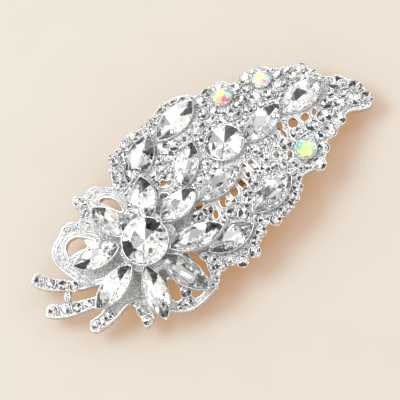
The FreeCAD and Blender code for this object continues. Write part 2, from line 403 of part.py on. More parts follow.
cup_body.Placement = FreeCAD.Placement(BASE, FreeCAD.Rotation()).multiply(flower_at).multiply(FreeCAD.Placement(V(0, 0, CUP_Z), FreeCAD.Rotation()))
NODES.append(cup_body)
zc = CUP_Z
stones["centre_stone"] = placed(cut_stone(round_ring(rim - dim("centre_wall") - GAP), [(0.22, zc + 1.2), (1.0, zc + 3.35), (1.0, zc + 3.65), (0.78, zc + 4.9), (0.5, zc + 5.5)]), flower_at)
rivet = Part.makeCylinder(dim("rivet_rad"), zc + 0.6 + 0.9, V(0, 0, -0.9)).fuse(Part.makeCylinder(1.7, 0.5, V(0, 0, zc + 0.6)))
node("flower_rivet", placed(rivet.removeSplitter(), flower_at))

for name, shape in stones.items():
    node(name, shape)

# ---------------------------------------------------------------- pave
for region, items in PAVE.items():
    group = []
    for x, y, rad in items:
        at = frame_at(V(x, y, dome_z(x, y)), dome_normal(x, y), V(1, 0, 0))
        group.append(placed(cut_stone(round_ring(rad, 8), [(0.62, 0.02), (1.0, 0.34 * rad), (1.0, 0.34 * rad + 0.12), (0.55, 0.85 * rad)]), at))
    node("pave_" + region, Part.makeCompound(group))

# ---------------------------------------------------------------- clip, on arcs about the dome's long radius
AXIS_BASE = FreeCAD.Placement(BASE - V(0, 0, RL), FreeCAD.Rotation())
bar = doc.addObject("PartDesign::Body", "base_bar_body")
bar.Label = "base_bar"
sk = bar.newObject("Sketcher::SketchObject", "bar_section")
plane = [o for o in bar.Origin.OriginFeatures if o.Role == "YZ_Plane"][0]
sk.AttachmentSupport = [(plane, "")]
sk.MapMode = "FlatFace"
low, high = BAR_OUT - BAR_T, BAR_OUT
corners = [(-BAR_H, low), (BAR_H, low), (BAR_H, high), (-BAR_H, high)]
for k in range(4):
    p, q = corners[k], corners[(k + 1) % 4]
    sk.addGeometry(Part.LineSegment(V(p[0], p[1], 0), V(q[0], q[1], 0)), False)
for k in range(4):
    sk.addConstraint(Sketcher.Constraint("Coincident", k, 2, (k + 1) % 4, 1))
for k, kind in ((0, "Horizontal"), (1, "Vertical"), (2, "Horizontal"), (3, "Vertical")):
    sk.addConstraint(Sketcher.Constraint(kind, k))
sk.addConstraint(Sketcher.Constraint("DistanceX", -1, 1, 1, 1, BAR_H))
sk.setExpression("Constraints[8]", "dims.bar_half")
sk.addConstraint(Sketcher.Constraint("DistanceX", 0, 1, 0, 2, 2 * BAR_H))
sk.setExpression("Constraints[9]", "dims.bar_half * 2")
sk.addConstraint(Sketcher.Constraint("DistanceY", -1, 1, 2, 1, high))
sk.setExpression("Constraints[10]", "dims.bar_out")
sk.addConstraint(Sketcher.Constraint("DistanceY", 1, 1, 1, 2, BAR_T))
sk.setExpression("Constraints[11]", "dims.bar_thick")
rev = bar.newObject("PartDesign::Revolution", "bar_bend")
rev.Profile = sk
rev.ReferenceAxis = (sk, ["H_Axis"])
rev.Midplane = True
rev.setExpression("Angle", "dims.bar_sweep")
doc.recompute()
mid = dim("bar_low") + dim("bar_sweep") / 2
for ang in RIVETS:
    hole = bar.newObject("PartDesign::SubtractiveCylinder", "bar_hole")
    hole.setExpression("Radius", "dims.rivet_rad + dims.rivet_gap")
    hole.Height = 6
    a = math.radians(ang - mid)
    hole.Placement = FreeCAD.Placement(V(145 * math.sin(a), 0, 145 * math.cos(a)), FreeCAD.Rotation(V(0, 1, 0), ang - mid))
    bar.Tip = hole
    doc.recompute()
bar.Placement = AXIS_BASE.multiply(FreeCAD.Placement(V(0, 0, 0), FreeCAD.Rotation(V(0, 1, 0), mid)))
NODES.append(bar)

FOOT = -dim("apex")
PIN_ANG = dim("pin_ang")
ARM_IN, ARM_T, ARM_H = dim("arm_in"), dim("arm_thick"), dim("arm_half")
pin_r = ARM_IN + ARM_T / 2
px = pin_r * math.sin(math.radians(PIN_ANG))
pz = -RL + pin_r * math.cos(math.radians(PIN_ANG))
print("pin", px + BASE.x, BASE.y, pz + BASE.z)


def along_y(rad, y0, y1):
    return Part.makeCylinder(rad, y1 - y0, V(px, y0, pz), V(0, 1, 0))


def rivet_hole(ang):
    return placed(Part.makeCylinder(dim("rivet_rad") + dim("rivet_gap"), 8), at_angle(ang, 143))


# hinge bracket: two ears and a foot web under a curved flange
EI, EO = dim("ear_in"), dim("ear_out")
flange_r = BAR_OUT - BAR_T - 0.02
under_bar = arc_plate(100, flange_r, -6, 6, -20, 0)
ears = [Part.makeBox(4.4, EO - EI, 12, V(px - 2.2, y, FOOT)).common(under_bar) for y in (EI, -EO)]
web = Part.makeBox(2.4, 2 * EO, 0.6, V(px - 2.2, -EO, FOOT))
flange = arc_plate(flange_r - 0.6, flange_r, -EO, EO, dim("bar_low"), dim("bar_low") + 5.1)
bracket = flange.multiFuse(ears + [web]).cut(Part.makeCompound([along_y(dim("pin_rad") + 0.03, -6, 6), rivet_hole(RIVETS[0])])).removeSplitter()
node("hinge_bracket", bracket)

# hinge pin, headed at both ends
pin_parts = []
for name, rad, height, y in (("pin_shank", "dims.pin_rad", "dims.ear_out * 2 + 0.1", -EO - 0.05),
                             ("pin_head_a", "dims.pin_rad + 0.35", "0.4", -EO - 0.43), ("pin_head_b", "dims.pin_rad + 0.35", "0.4", EO + 0.03)):
    c = doc.addObject("Part::Cylinder", name)
    c.setExpression("Radius", rad)
    c.setExpression("Height", height)
    c.Placement = FreeCAD.Placement(BASE + V(px, y, pz), FreeCAD.Rotation(V(1, 0, 0), -90))
    pin_parts.append(c)
pin = doc.addObject("Part::MultiFuse", "pin_union")
pin.Shapes = pin_parts
pin.Label = "hinge_pin"
pin.Refine = True
NODES.append(pin)

# two identical rivets
group = []
for ang in RIVETS:
    head = Part.makeCylinder(dim("rivet_head"), 0.5, V(0, 0, flange_r - 0.6 - 0.53))
    shank = Part.makeCylinder(dim("rivet_rad"), 149.25 - (flange_r - 0.7), V(0, 0, flange_r - 0.7))
    group.append(placed(head.fuse(shank).removeSplitter(), at_angle(ang, 0)))
node("clip_rivets", Part.makeCompound(group))

# swing arm: long window, end slot, knuckle, finger tab
slot_ang = 9.0
arm = arc_plate(ARM_IN, ARM_IN + ARM_T, -ARM_H, ARM_H, PIN_ANG + 0.7, 10.8)
neck = arc_plate(ARM_IN, ARM_IN + ARM_T, -1.9, 1.9, PIN_ANG, PIN_ANG + 1.0)
knuckle = along_y(dim("eye_rad"), -dim("knuckle_half"), dim("knuckle_half"))
tab_x = pin_r * math.sin(math.radians(10.6))
tab = Part.makeBox(0.8, 2 * ARM_H, -RL + pin_r * math.cos(math.radians(10.6)) - FOOT, V(tab_x - 0.4, -ARM_H, FOOT))
lip = Part.makeBox(2.6, 2 * ARM_H, 0.6, V(tab_x - 0.4, -ARM_H, FOOT))
window = arc_plate(ARM_IN - 1, ARM_IN + 2, -dim("window_half"), dim("window_half"), -8.6, 6.8)
slot = arc_plate(ARM_IN - 1, ARM_IN + 2, -dim("slot_half"), dim("slot_half"), slot_ang - 0.66, slot_ang + 0.66)
arm = arm.multiFuse([neck, knuckle, tab, lip]).cut(Part.makeCompound([window, slot, along_y(dim("pin_rad") + dim("eye_gap"), -6, 6)])).removeSplitter()
node("swing_arm", arm)

# tension bow: two eyes on the hinge pin and one thin curved strip
BI, BT, BH = dim("bow_in"), dim("bow_thick"), dim("bow_half")
eyes = [along_y(dim("eye_rad"), y0, y1) for y0, y1 in ((2.05, BH), (-BH, -2.05))]
rails = [arc_plate(BI, BI + BT, y0, y1, PIN_ANG, PIN_ANG + 1.1) for y0, y1 in ((2.05, BH), (-BH, -2.05))]
strip = arc_plate(BI, BI + BT, -BH, BH, PIN_ANG + 0.9, 7.2)
bow = strip.multiFuse(eyes + rails).cut(along_y(dim("pin_rad") + dim("eye_gap"), -6, 6)).removeSplitter()
node("tension_bow", bow)

# latch: fixed base and two pinch prongs
latch = arc_plate(flange_r - 0.6, flange_r, -3.2, 3.2, 5.0, 9.8).cut(rivet_hole(RIVETS[1])).removeSplitter()
node("latch_base", latch)
ROOT_R, ROOT_Y = flange_r - 0.6 - 0.35, 1.9
for side, label in ((1, "left"), (-1, "right")):
    prof = [(1.6, ROOT_R), (2.2, ROOT_R), (2.2, 139.8), (2.5, 139.8), (2.2, 138.9), (1.6, 138.9)]
    p = [V(-1.2, side * y, z) for y, z in prof]
    leg = Part.Face(Part.makePolygon(p + p[:1])).extrude(V(2.4, 0, 0))
    root = Part.makeCylinder(0.3, 2.4, V(-1.2, side * ROOT_Y, ROOT_R), V(1, 0, 0))
    arm_out = Part.makeBox(2.4, 3.1, 0.6, V(-1.2, 2.15 if side > 0 else -5.25, 143.6))
    pad = Part.makeBox(3.4, 0.6, 3.0, V(-1.7, 5.1 if side > 0 else -5.7, 142.4))
    prong = leg.multiFuse([root, arm_out, pad]).removeSplitter()
    node("latch_prong_" + label, placed(prong, at_angle(slot_ang, 0)))
a = math.radians(slot_ang)
print("prong pivot", BASE.x + ROOT_R * math.sin(a), ROOT_Y, BASE.z - RL + ROOT_R * math.cos(a), "axis", math.cos(a), 0, -math.sin(a))

doc.recompute()
bad = [o.Name for o in doc.Objects if "Invalid" in o.State or "Error" in o.State]
if bad:
    raise RuntimeError("failed objects: %s" % bad)
for obj in NODES:
    if obj.Shape.isNull() or not obj.Shape.isValid() or not obj.Shape.Solids:
        raise RuntimeError("bad shape: %s" % obj.Label)
os.makedirs("parts", exist_ok=True)
box = FreeCAD.BoundBox()
for obj in NODES:
    obj.Shape.exportStep("parts/%s.step" % obj.Label)
    box.add(obj.Shape.BoundBox)
print(len(NODES), "nodes", box)
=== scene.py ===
import bpy, bmesh, math, random
import numpy as np
from mathutils import Vector, Matrix, kdtree
from mathutils.bvhtree import BVHTree


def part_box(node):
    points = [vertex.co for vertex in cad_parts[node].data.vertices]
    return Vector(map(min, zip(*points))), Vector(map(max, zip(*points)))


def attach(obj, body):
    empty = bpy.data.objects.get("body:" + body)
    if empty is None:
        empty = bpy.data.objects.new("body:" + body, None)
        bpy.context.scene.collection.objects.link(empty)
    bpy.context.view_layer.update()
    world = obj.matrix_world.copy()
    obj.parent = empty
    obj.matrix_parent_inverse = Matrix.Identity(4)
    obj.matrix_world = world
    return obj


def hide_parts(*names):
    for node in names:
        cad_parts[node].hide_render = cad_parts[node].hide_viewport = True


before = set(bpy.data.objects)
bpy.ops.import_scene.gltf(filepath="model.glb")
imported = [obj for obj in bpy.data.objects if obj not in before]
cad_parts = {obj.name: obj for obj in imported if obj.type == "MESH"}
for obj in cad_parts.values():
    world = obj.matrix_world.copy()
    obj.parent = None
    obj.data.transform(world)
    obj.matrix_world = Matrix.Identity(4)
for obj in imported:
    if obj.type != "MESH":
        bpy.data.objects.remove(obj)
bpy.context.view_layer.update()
random.seed(7)
rng = np.random.default_rng(7)
MM = 0.001
ROOT = "clip_body"
scene = bpy.context.scene

# plan outlines of the casting, as in the CAD source, in millimetres from the top of the dome
LEAF = [(-18.15, 11.99), (-17.56, 14.51), (-16.54, 16.74), (-15.41, 18.54), (-14.42, 20.11), (-12.97, 21.3), (-11.65, 22.22), (-9.75, 23.06), (-8.2, 23.81),
 (-6.69, 23.74), (-5.45, 23.03), (-3.94, 22.98), (-2.3, 23.26), (-1.54, 24.35), (-0.12, 24.85), (1.58, 26.05), (2.79, 26.8), (4.53, 26.6),
 (6.4, 26.76), (8.07, 26.42), (9.45, 25.41), (10.97, 24.76), (11.48, 23.18), (12.63, 23.1), (13.93, 23.36), (15.45, 23.45), (17.18, 23.37),
 (18.27, 23.84), (19.86, 23.44), (20.86, 21.73), (21.21, 20.56), (22.52, 20.86), (22.94, 19.24), (24.25, 20.84), (25.06, 22.0), (26.59, 22.17),
 (27.97, 22.01), (29.36, 21.86), (30.88, 21.39), (32.16, 19.78), (33.52, 18.38), (35.34, 17.97), (36.79, 17.41), (38.52, 16.25), (39.96, 15.11),
 (40.44, 13.78), (41.15, 12.93), (41.78, 11.36), (42.19, 9.95), (43.77, 8.63), (45.17, 8.59), (46.48, 7.85), (46.96, 6.1), (48.12, 5.1),
 (49.34, 3.73), (49.47, 1.89), (49.81, -0.02), (49.8, -2.05), (49.06, -3.35), (48.25, -4.27), (46.65, -4.13), (44.76, -3.51), (43.09, -2.98),
 (41.79, -3.29), (40.64, -4.32), (39.35, -5.58), (38.06, -5.87), (36.79, -7.1), (35.15, -7.49), (33.87, -7.75), (33.4, -9.05), (32.22, -10.57),
 (30.97, -11.72), (29.51, -12.75), (28.46, -13.08), (26.91, -12.85), (25.01, -12.72), (23.62, -13.15), (22.47, -14.58), (21.24, -15.65),
 (20.1, -17.04), (18.67, -17.98), (17.51, -18.47), (16.08, -19.38), (14.62, -19.43), (13.38, -19.59), (12.48, -19.65), (10.61, -19.45),
 (9.34, -18.74), (8.57, -18.59), (8.6, -19.44), (7.95, -20.47), (6.67, -21.12), (5.64, -21.37), (5.33, -22.29), (4.26, -23.05), (2.81, -23.05),
 (1.71, -22.97), (0.77, -23.51), (-0.68, -23.5), (-2.29, -22.85), (-4.16, -22.58), (-5.27, -22.48), (-6.16, -22.49), (-6.99, -24.17), (-8.45, -25.45),
 (-10.29, -25.97), (-12.47, -26.55), (-14.73, -26.8), (-17.08, -26.72), (-19.05, -26.08), (-22.03, -24.26), (-21.97, -21.05), (-21.1, -17.44),
 (-21.52, -14.31), (-22.0, -10.17), (-22.62, -6.1), (-21.79, -1.99), (-19.44, 2.81), (-17.08, 6.12), (-17.33, 9.86)]
LIMBS = {'loop1': [(-29.28, 15.92), (-28.26, 16.75), (-26.83, 15.66), (-25.82, 14.39), (-25.09, 15.27), (-23.61, 15.71), (-22.01, 15.07), (-20.28, 13.4),
           (-18.94, 12.28), (-17.52, 10.74), (-16.36, 8.72), (-16.03, 6.35), (-16.19, 3.72), (-18.16, -0.45), (-18.22, -4.87), (-23.52, -2.32),
           (-26.65, 3.32), (-27.82, 5.27), (-28.3, 7.39), (-30.1, 8.87), (-29.19, 11.34), (-28.46, 12.19), (-29.47, 13.43), (-29.78, 14.84)],
 'loop2': [(-27.82, 5.27), (-29.1, 7.69), (-30.66, 9.69), (-32.37, 10.78), (-34.24, 10.94), (-35.56, 10.27), (-36.77, 9.16), (-38.44, 8.46),
           (-39.89, 7.58), (-40.77, 5.9), (-41.07, 4.11), (-40.69, 1.8), (-39.96, -0.41), (-38.92, -3.13), (-37.87, -5.18), (-36.03, -7.47),
           (-34.92, -8.27), (-31.76, -9.34), (-27.63, -9.26), (-21.23, -8.91), (-19.17, -5.45), (-24.69, 1.15)],
 'post': [(-41.88, -3.7), (-40.75, -4.56), (-43.07, -8.33), (-44.2, -7.49)],
 'stem1': [(-48.44, 4.17), (-47.1, 4.73), (-46.02, 4.84), (-45.22, 3.84), (-44.35, 1.79), (-42.77, -0.13), (-39.4, -3.39), (-37.87, -5.18),
           (-34.92, -8.27), (-38.77, -6.67), (-43.39, -3.47), (-46.07, -1.21), (-48.05, 1.19), (-49.07, 3.02)],
 'stem2': [(-48.68, -5.0), (-47.57, -4.3), (-44.62, -6.57), (-40.63, -8.63), (-37.13, -10.27), (-35.77, -10.66), (-32.5, -10.01), (-29.1, -10.62),
           (-31.6, -13.58), (-36.4, -13.15), (-37.99, -12.61), (-41.74, -11.4), (-44.44, -10.47), (-46.88, -9.11), (-49.16, -7.4), (-49.81, -6.29)],
 'stem3': [(-41.61, -16.12), (-40.7, -14.76), (-39.64, -14.64), (-37.58, -14.93), (-35.57, -14.31), (-32.48, -12.97), (-28.23, -11.23),
           (-23.52, -9.13), (-21.57, -10.47), (-25.18, -16.19), (-28.3, -18.08), (-29.6, -17.22), (-30.51, -17.18), (-31.9, -17.38), (-33.9, -18.01),
           (-35.86, -18.09), (-38.05, -18.01), (-40.46, -17.77), (-41.56, -17.01)],
 'stem4': [(-28.21, -14.16), (-23.52, -9.13), (-20.49, -11.2), (-23.67, -15.76), (-25.41, -20.24), (-25.77, -23.01), (-27.33, -23.92),
           (-28.71, -24.12), (-29.36, -23.71), (-29.26, -22.69), (-28.95, -20.44), (-28.69, -18.67), (-29.6, -17.22)]}
WINDOWS = {'h1': [(28.3, 1.95), (29.15, 2.47), (30.33, 1.76), (30.3, 0.42), (29.25, -0.98), (27.64, -0.04)],
 'h10': [(7.07, -6.79), (8.1, -6.5), (8.37, -8.52), (7.39, -9.45), (6.27, -8.9), (6.37, -7.74)],
 'h11': [(3.09, -7.38), (4.75, -7.04), (4.77, -8.74), (4.38, -10.61), (2.53, -10.06)],
 'h12': [(-3.04, -5.57), (-0.86, -6.38), (-1.04, -7.19), (-3.52, -7.42)],
 'h13': [(0.09, -9.74), (1.12, -9.49), (1.11, -10.98), (0.35, -11.99), (-0.48, -11.18)],
 'h14': [(-7.21, 5.22), (-4.44, 4.22), (-5.01, 2.59), (-6.7, 2.79), (-7.99, 3.74)],
 'h16': [(-8.77, 2.28), (-6.75, 0.49), (-8.82, -0.01), (-9.68, 0.61)],
 'h17': [(-19.58, -12.69), (-18.29, -13.55), (-18.0, -15.47), (-19.11, -15.32)],
 'h18': [(-18.39, -17.49), (-17.62, -17.7), (-16.82, -20.15), (-17.0, -22.23), (-18.25, -23.63), (-20.17, -22.45), (-19.17, -20.06)],
 'h19': [(-14.93, -22.28), (-12.23, -24.03), (-11.85, -24.79), (-13.56, -25.11), (-15.1, -24.73), (-15.09, -23.4)],
 'h2': [(31.55, 1.39), (32.94, 2.12), (33.65, 1.36), (33.48, 0.27), (32.09, -0.45), (31.3, 0.17)],
 'h20': [(-10.97, -14.81), (-9.05, -16.02), (-8.13, -18.28), (-8.11, -20.52), (-9.02, -23.24), (-9.61, -22.35), (-9.67, -19.3), (-10.47, -16.84)],
 'h3': [(34.87, 1.51), (35.88, 2.32), (35.98, 1.22), (34.73, -0.28), (34.43, 0.4)],
 'h4': [(25.59, 3.26), (26.62, 3.32), (26.49, 2.02), (25.76, 0.42), (26.27, -0.72), (25.79, -2.09), (24.72, -1.46), (25.3, 0.36), (24.74, 1.38)],
 'h5': [(20.68, -4.09), (21.59, -3.99), (22.17, -4.97), (21.17, -5.97), (20.32, -5.47)],
 'h6': [(23.77, -5.91), (24.71, -5.5), (24.94, -6.58), (24.33, -7.64), (23.49, -7.62), (23.29, -6.89)],
 'h7': [(14.0, -2.74), (15.04, -2.42), (15.64, -4.4), (15.76, -6.21), (14.57, -6.27), (13.98, -4.81)],
 'h8': [(12.1, -2.52), (13.08, -2.32), (13.23, -4.35), (12.91, -6.67), (11.94, -6.85), (11.98, -4.52)],
 'h9': [(8.83, -5.24), (9.97, -5.01), (10.68, -6.55), (10.98, -8.74), (10.05, -9.09), (9.24, -7.52)],
 'l1': [(-23.53, 10.58), (-21.9, 10.69), (-20.35, 9.42), (-19.18, 7.42), (-19.07, 5.25), (-19.18, 3.29), (-20.56, 5.37), (-21.81, 7.75)],
 'l2': [(-36.81, 4.68), (-35.83, 5.92), (-34.64, 6.32), (-32.9, 5.93), (-31.01, 4.06), (-29.47, 2.19), (-28.84, 1.04), (-30.46, 0.97), (-32.4, 1.5),
        (-34.93, 2.16), (-37.05, 1.86)]}
SHIFT = Vector((-0.243, 0.035, 14.8))
RL, RC = 150.0, 62.0
TILT, ROLL, DIST = math.radians(26.0), math.radians(31.5), 0.5
back = Vector((0, -math.sin(TILT), math.cos(TILT)))
r0, u0 = Vector((1, 0, 0)), Vector((0, math.cos(TILT), math.sin(TILT)))
right = r0 * math.cos(ROLL) - u0 * math.sin(ROLL)
up = r0 * math.sin(ROLL) + u0 * math.cos(ROLL)


def dome_z(x, y, up=0.0):
    a = (RL - RC) + math.sqrt((RC + up) ** 2 - y * y)
    return -RL + math.sqrt(a * a - x * x)


def dome_n(x, y):
    d = Vector((x, 0, dome_z(x, y) + RL)).normalized()
    return (Vector((x, y, dome_z(x, y))) - (d * (RL - RC) - Vector((0, 0, RL)))).normalized()


def on_dome(x, y, up=0.0):
    """Point in metres, row frame, at a height over the plate's face."""
    p = Vector((x, y, dome_z(x, y))) + dome_n(x, y) * up
    return (p + SHIFT) * MM


# ------------------------------------------------------------------ materials
def new_mat(name):
    m = bpy.data.materials.new(name)
    m.use_nodes = True
    nt = m.node_tree
    bsdf = nt.nodes["Principled BSDF"]
    return m, nt, bsdf


def node(nt, kind, **kw):
    n = nt.nodes.new(kind)
    for k, v in kw.items():
        setattr(n, k, v)
    return n


def coords(nt):
    return node(nt, "ShaderNodeTexCoord").outputs["Object"]


def ramp(nt, src, stops):
    r = node(nt, "ShaderNodeValToRGB")
    nt.links.new(src, r.inputs["Fac"])
    e = r.color_ramp.elements
    while len(e) > 1:
        e.remove(e[0])
    e[0].position, e[0].color = stops[0][0], stops[0][1]
    for p, c in stops[1:]:
        k = e.new(p)
        k.color = c
    return r.outputs["Color"]


def g(v, a=1.0):
    return (v, v, v, a)


def metal(name, tone, rough, grain_scale, grain_bump, noise_bump=0.05, spread=0.10, tint=(0.985, 0.995, 1.0)):
    """Plated metal: tone varies with a soft noise, a voronoi grain gives the pebbled glitter."""
    m, nt, b = new_mat(name)
    L = nt.links.new
    c = coords(nt)
    n1 = node(nt, "ShaderNodeTexNoise")
    n1.inputs["Scale"].default_value = 420
    n1.inputs["Detail"].default_value = 4
    L(c, n1.inputs["Vector"])
    col = lambda v: (v * tint[0], v * tint[1], v * tint[2], 1)
    L(ramp(nt, n1.outputs["Fac"], [(0.3, col(tone - 0.07)), (0.7, col(tone + 0.03))]), b.inputs["Base Color"])
    b.inputs["Metallic"].default_value = 1.0
    n2 = node(nt, "ShaderNodeTexNoise")
    n2.inputs["Scale"].default_value = 1600
    n2.inputs["Detail"].default_value = 3
    L(c, n2.inputs["Vector"])
    L(ramp(nt, n2.outputs["Fac"], [(0.3, g(rough - spread / 2)), (0.7, g(rough + spread / 2))]), b.inputs["Roughness"])
    prev = None
    if grain_bump:
        v = node(nt, "ShaderNodeTexVoronoi")
        v.inputs["Scale"].default_value = grain_scale
        L(c, v.inputs["Vector"])
        bp = node(nt, "ShaderNodeBump")
        bp.invert = True
        bp.inputs["Strength"].default_value = grain_bump
        bp.inputs["Distance"].default_value = 0.0003
        L(v.outputs["Distance"], bp.inputs["Height"])
        prev = bp.outputs["Normal"]
    b2 = node(nt, "ShaderNodeBump")
    b2.inputs["Strength"].default_value = noise_bump
    b2.inputs["Distance"].default_value = 0.0002
    L(n2.outputs["Fac"], b2.inputs["Height"])
    if prev:
        L(prev, b2.inputs["Normal"])
    L(b2.outputs["Normal"], b.inputs["Normal"])
    return m


SILVER = metal("silver_plate_smooth", 0.84, 0.17, 0, 0)
GLITTER = metal("silver_plate_glitter", 0.70, 0.26, 2700, 1.0)
BEADED = metal("silver_plate_beads", 0.88, 0.13, 0, 0)
STEEL = metal("clip_nickel_plate", 0.68, 0.24, 0, 0, 0.015, 0.05, (1.0, 0.955, 0.90))
CAST_BACK = metal("silver_plate_back", 0.52, 0.30, 900, 0.25, 0.30, 0.16)


def crystal(name, tint=(0.995, 0.998, 1.0), ior=1.54):
    m, nt, b = new_mat(name)
    L = nt.links.new
    n = node(nt, "ShaderNodeTexNoise")
    n.inputs["Scale"].default_value = 300
    L(coords(nt), n.inputs["Vector"])
    L(ramp(nt, n.outputs["Fac"], [(0.35, (tint[0] * 0.992, tint[1] * 0.992, tint[2] * 0.992, 1)), (0.65, (*tint, 1))]), b.inputs["Base Color"])
    L(ramp(nt, n.outputs["Fac"], [(0.3, g(0.0)), (0.8, g(0.03))]), b.inputs["Roughness"])
    b.inputs["Transmission Weight"].default_value = 1.0
    b.inputs["IOR"].default_value = ior
    return m


def foil(name):
    """Foil behind the pavilion: one brightness per facet, stored on the mesh, with a faint mottle. The dark and grey
    facet brightnesses are painted reflections of dark surroundings, not a foil colour.
    """
    m, nt, b = new_mat(name)
    L = nt.links.new
    a = node(nt, "ShaderNodeVertexColor", layer_name="facet_coat_and_painted_reflection")
    n = node(nt, "ShaderNodeTexNoise")
    n.inputs["Scale"].default_value = 700
    L(coords(nt), n.inputs["Vector"])
    mx = node(nt, "ShaderNodeMix", data_type="RGBA", blend_type="MULTIPLY")
    mx.inputs[0].default_value = 1.0
    L(a.outputs["Color"], mx.inputs[6])
    L(ramp(nt, n.outputs["Fac"], [(0.35, g(0.955)), (0.65, g(1.0))]), mx.inputs[7])
    L(mx.outputs[2], b.inputs["Base Color"])
    L(ramp(nt, n.outputs["Fac"], [(0.3, g(0.02)), (0.8, g(0.09))]), b.inputs["Roughness"])
    b.inputs["Metallic"].default_value = 1.0
    return m


CRYSTAL, FOIL = crystal("crystal_clear"), foil("crystal_foil_back_painted_reflections")


def aurora(name):
    """Coated facets: the colour is one value per facet, stored on the mesh."""
    m, nt, b = new_mat(name)
    L = nt.links.new
    a = node(nt, "ShaderNodeVertexColor", layer_name="facet_coat_and_painted_reflection")
    n = node(nt, "ShaderNodeTexNoise")
    n.inputs["Scale"].default_value = 500
    L(coords(nt), n.inputs["Vector"])
    mx = node(nt, "ShaderNodeMix", data_type="RGBA", blend_type="MULTIPLY")
    mx.inputs[0].default_value = 0.25
    L(a.outputs["Color"], mx.inputs[6])
    L(ramp(nt, n.outputs["Fac"], [(0.35, g(0.85)), (0.65, g(1.0))]), mx.inputs[7])
    L(mx.outputs[2], b.inputs["Base Color"])
    b.inputs["Metallic"].default_value = 0.55
    b.inputs["Roughness"].default_value = 0.10
    b.inputs["Coat Weight"].default_value = 1.0
    b.inputs["Coat Roughness"].default_value = 0.02
    return m


AURORA = aurora("crystal_aurora_coat")


# ------------------------------------------------------------------ helpers
def finish_piece(name, bm, mats, body=ROOT, smooth=False, replaces=()):
    me = bpy.data.meshes.new(name)
    bmesh.ops.recalc_face_normals(bm, faces=bm.faces)
    bm.to_mesh(me)
    bm.free()
    for m in mats:
        me.materials.append(m)
    if smooth:
        for p in me.polygons:
            p.use_smooth = True
    o = bpy.data.objects.new(name, me)
    scene.collection.objects.link(o)
    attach(o, body)
    if replaces:
        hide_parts(*replaces)
    return o


def islands(obj):
    """Vertex groups of a CAD node's separate solids, joined across split normals."""
    me = obj.data
    key = {}
    idx = []
    for v in me.vertices:
        k = tuple(round(c * 1e6) for c in v.co)
        idx.append(key.setdefault(k, len(key)))
    pts = np.zeros((len(key), 3))
    for v in me.vertices:
        pts[idx[v.index]] = v.co
    parent = list(range(len(key)))

    def find(a):
        while parent[a] != a:
            parent[a] = parent[parent[a]]
            a = parent[a]
        return a
    for e in me.edges:
        a, b = find(idx[e.vertices[0]]), find(idx[e.vertices[1]])
        parent[a] = b
    groups = {}
    for i in range(len(key)):
        groups.setdefault(find(i), []).append(i)
    return [pts[v] for v in groups.values()]


def stone_frame(pts, long_axis=False):
    """Seat frame of one cut stone: girdle centre, axes, half sizes, crown and base heights."""
    c = pts.mean(0)
    w, v = np.linalg.eigh(np.cov((pts - c).T))
    n = v[:, 0]
    if n[2] < 0:
        n = -n
    t = v[:, 2] if long_axis else np.cross([0, 1, 0], n)
    t = t / np.linalg.norm(t)
    if t[0] < 0:
        t = -t
    s = np.cross(n, t)
    q = pts - c
    a, b_, h = q @ t, q @ s, q @ n
    c = c + t * (a.max() + a.min()) / 2 + s * (b_.max() + b_.min()) / 2
    return Vector(c), Vector(t), Vector(s), Vector(n), (a.max() - a.min()) / 2, (b_.max() - b_.min()) / 2, h.min(), h.max()


def navette_pt(ang, half_l, half_w):
    """Point of a navette outline at a running angle."""
    rad = (half_l ** 2 + half_w ** 2) / (2 * half_w)
    phi = math.asin(min(1, half_l / rad))
    u = ang % (2 * math.pi)
    top = u < math.pi
    f = (u / math.pi) if top else (u / math.pi - 1)
    x = rad * math.sin(phi * (1 - 2 * f))
    y = rad * math.cos(phi * (1 - 2 * f)) - (rad - half_w)
    return (x, y) if top else (-x, -y)


def add_gem(bm, fr, n, outline, crown, base, table, girdle, spin=0.0, mats=(0, 1), tint=None, layer=None, keel=0.0):
    """Cut stone on any outline: table, star, kite and girdle facets, then a foiled pavilion that ends in a point or a keel."""
    c, t, s, nn = fr
    P = lambda xy, k, z: bm.verts.new(c + t * (xy[0] * k) + s * (xy[1] * k) + nn * z)
    step = 2 * math.pi / n
    A = [spin + step * i for i in range(n)]
    H = [a + step / 2 for a in A]
    zt, zm, zg, zl = crown, crown * 0.55, girdle, -girdle
    T = [P(outline(a), table, zt) for a in A]
    Mi = [P(outline(a), (1 + table) / 2 + 0.06, zm) for a in H]
    G1 = [P(outline(a), 1.0, zg) for a in A]
    G2 = [P(outline(a), 1.0, zg) for a in H]
    D1 = [P(outline(a), 1.0, zl) for a in A]
    D2 = [P(outline(a), 1.0, zl) for a in H]
    faces = []

    def f(vs, mat, tag):
        if len(set(vs)) < len(vs):
            return
        try:
            fc = bm.faces.new(vs)
        except ValueError:
            return
        fc.material_index = mat
        faces.append((fc, tag))
    f(T, mats[0], ("table", 0))
    for i in range(n):
        j = (i + 1) % n
        f([T[i], Mi[i], T[j]], mats[0], ("star", i))
        f([T[j], Mi[i], G1[j], Mi[j]], mats[0], ("kite", j))
        f([Mi[i], G1[i], G2[i], G1[j]], mats[0], ("upper", i))
        f([G1[i], D1[i], D2[i], G2[i]], mats[0], ("girdle", i))
        f([G2[i], D2[i], D1[j], G1[j]], mats[0], ("girdle", i))
    ends = [P((keel, 0), 1, base), P((-keel, 0), 1, base)] if keel else [P((0, 0), 1, base)]
    side = [ends[0] if outline(a)[0] >= 0 or not keel else ends[1] for a in H]
    for i in range(n):
        j = (i + 1) % n
        f([D1[i], side[i], D1[j], D2[i]], mats[1], ("pavilion", i))
        if side[i] is not side[j]:
            f([D1[j], side[i], side[j]], mats[1], ("pavilion", i))
    # per-facet colours: painted reflections (dark and grey foil facets) on the clear stones, coat colours on the aurora
    # stones
    if tint and layer is not None:
        for fc, tag in faces:
            col = tint(*tag)
            for lp in fc.loops:
                lp[layer] = col
    return faces


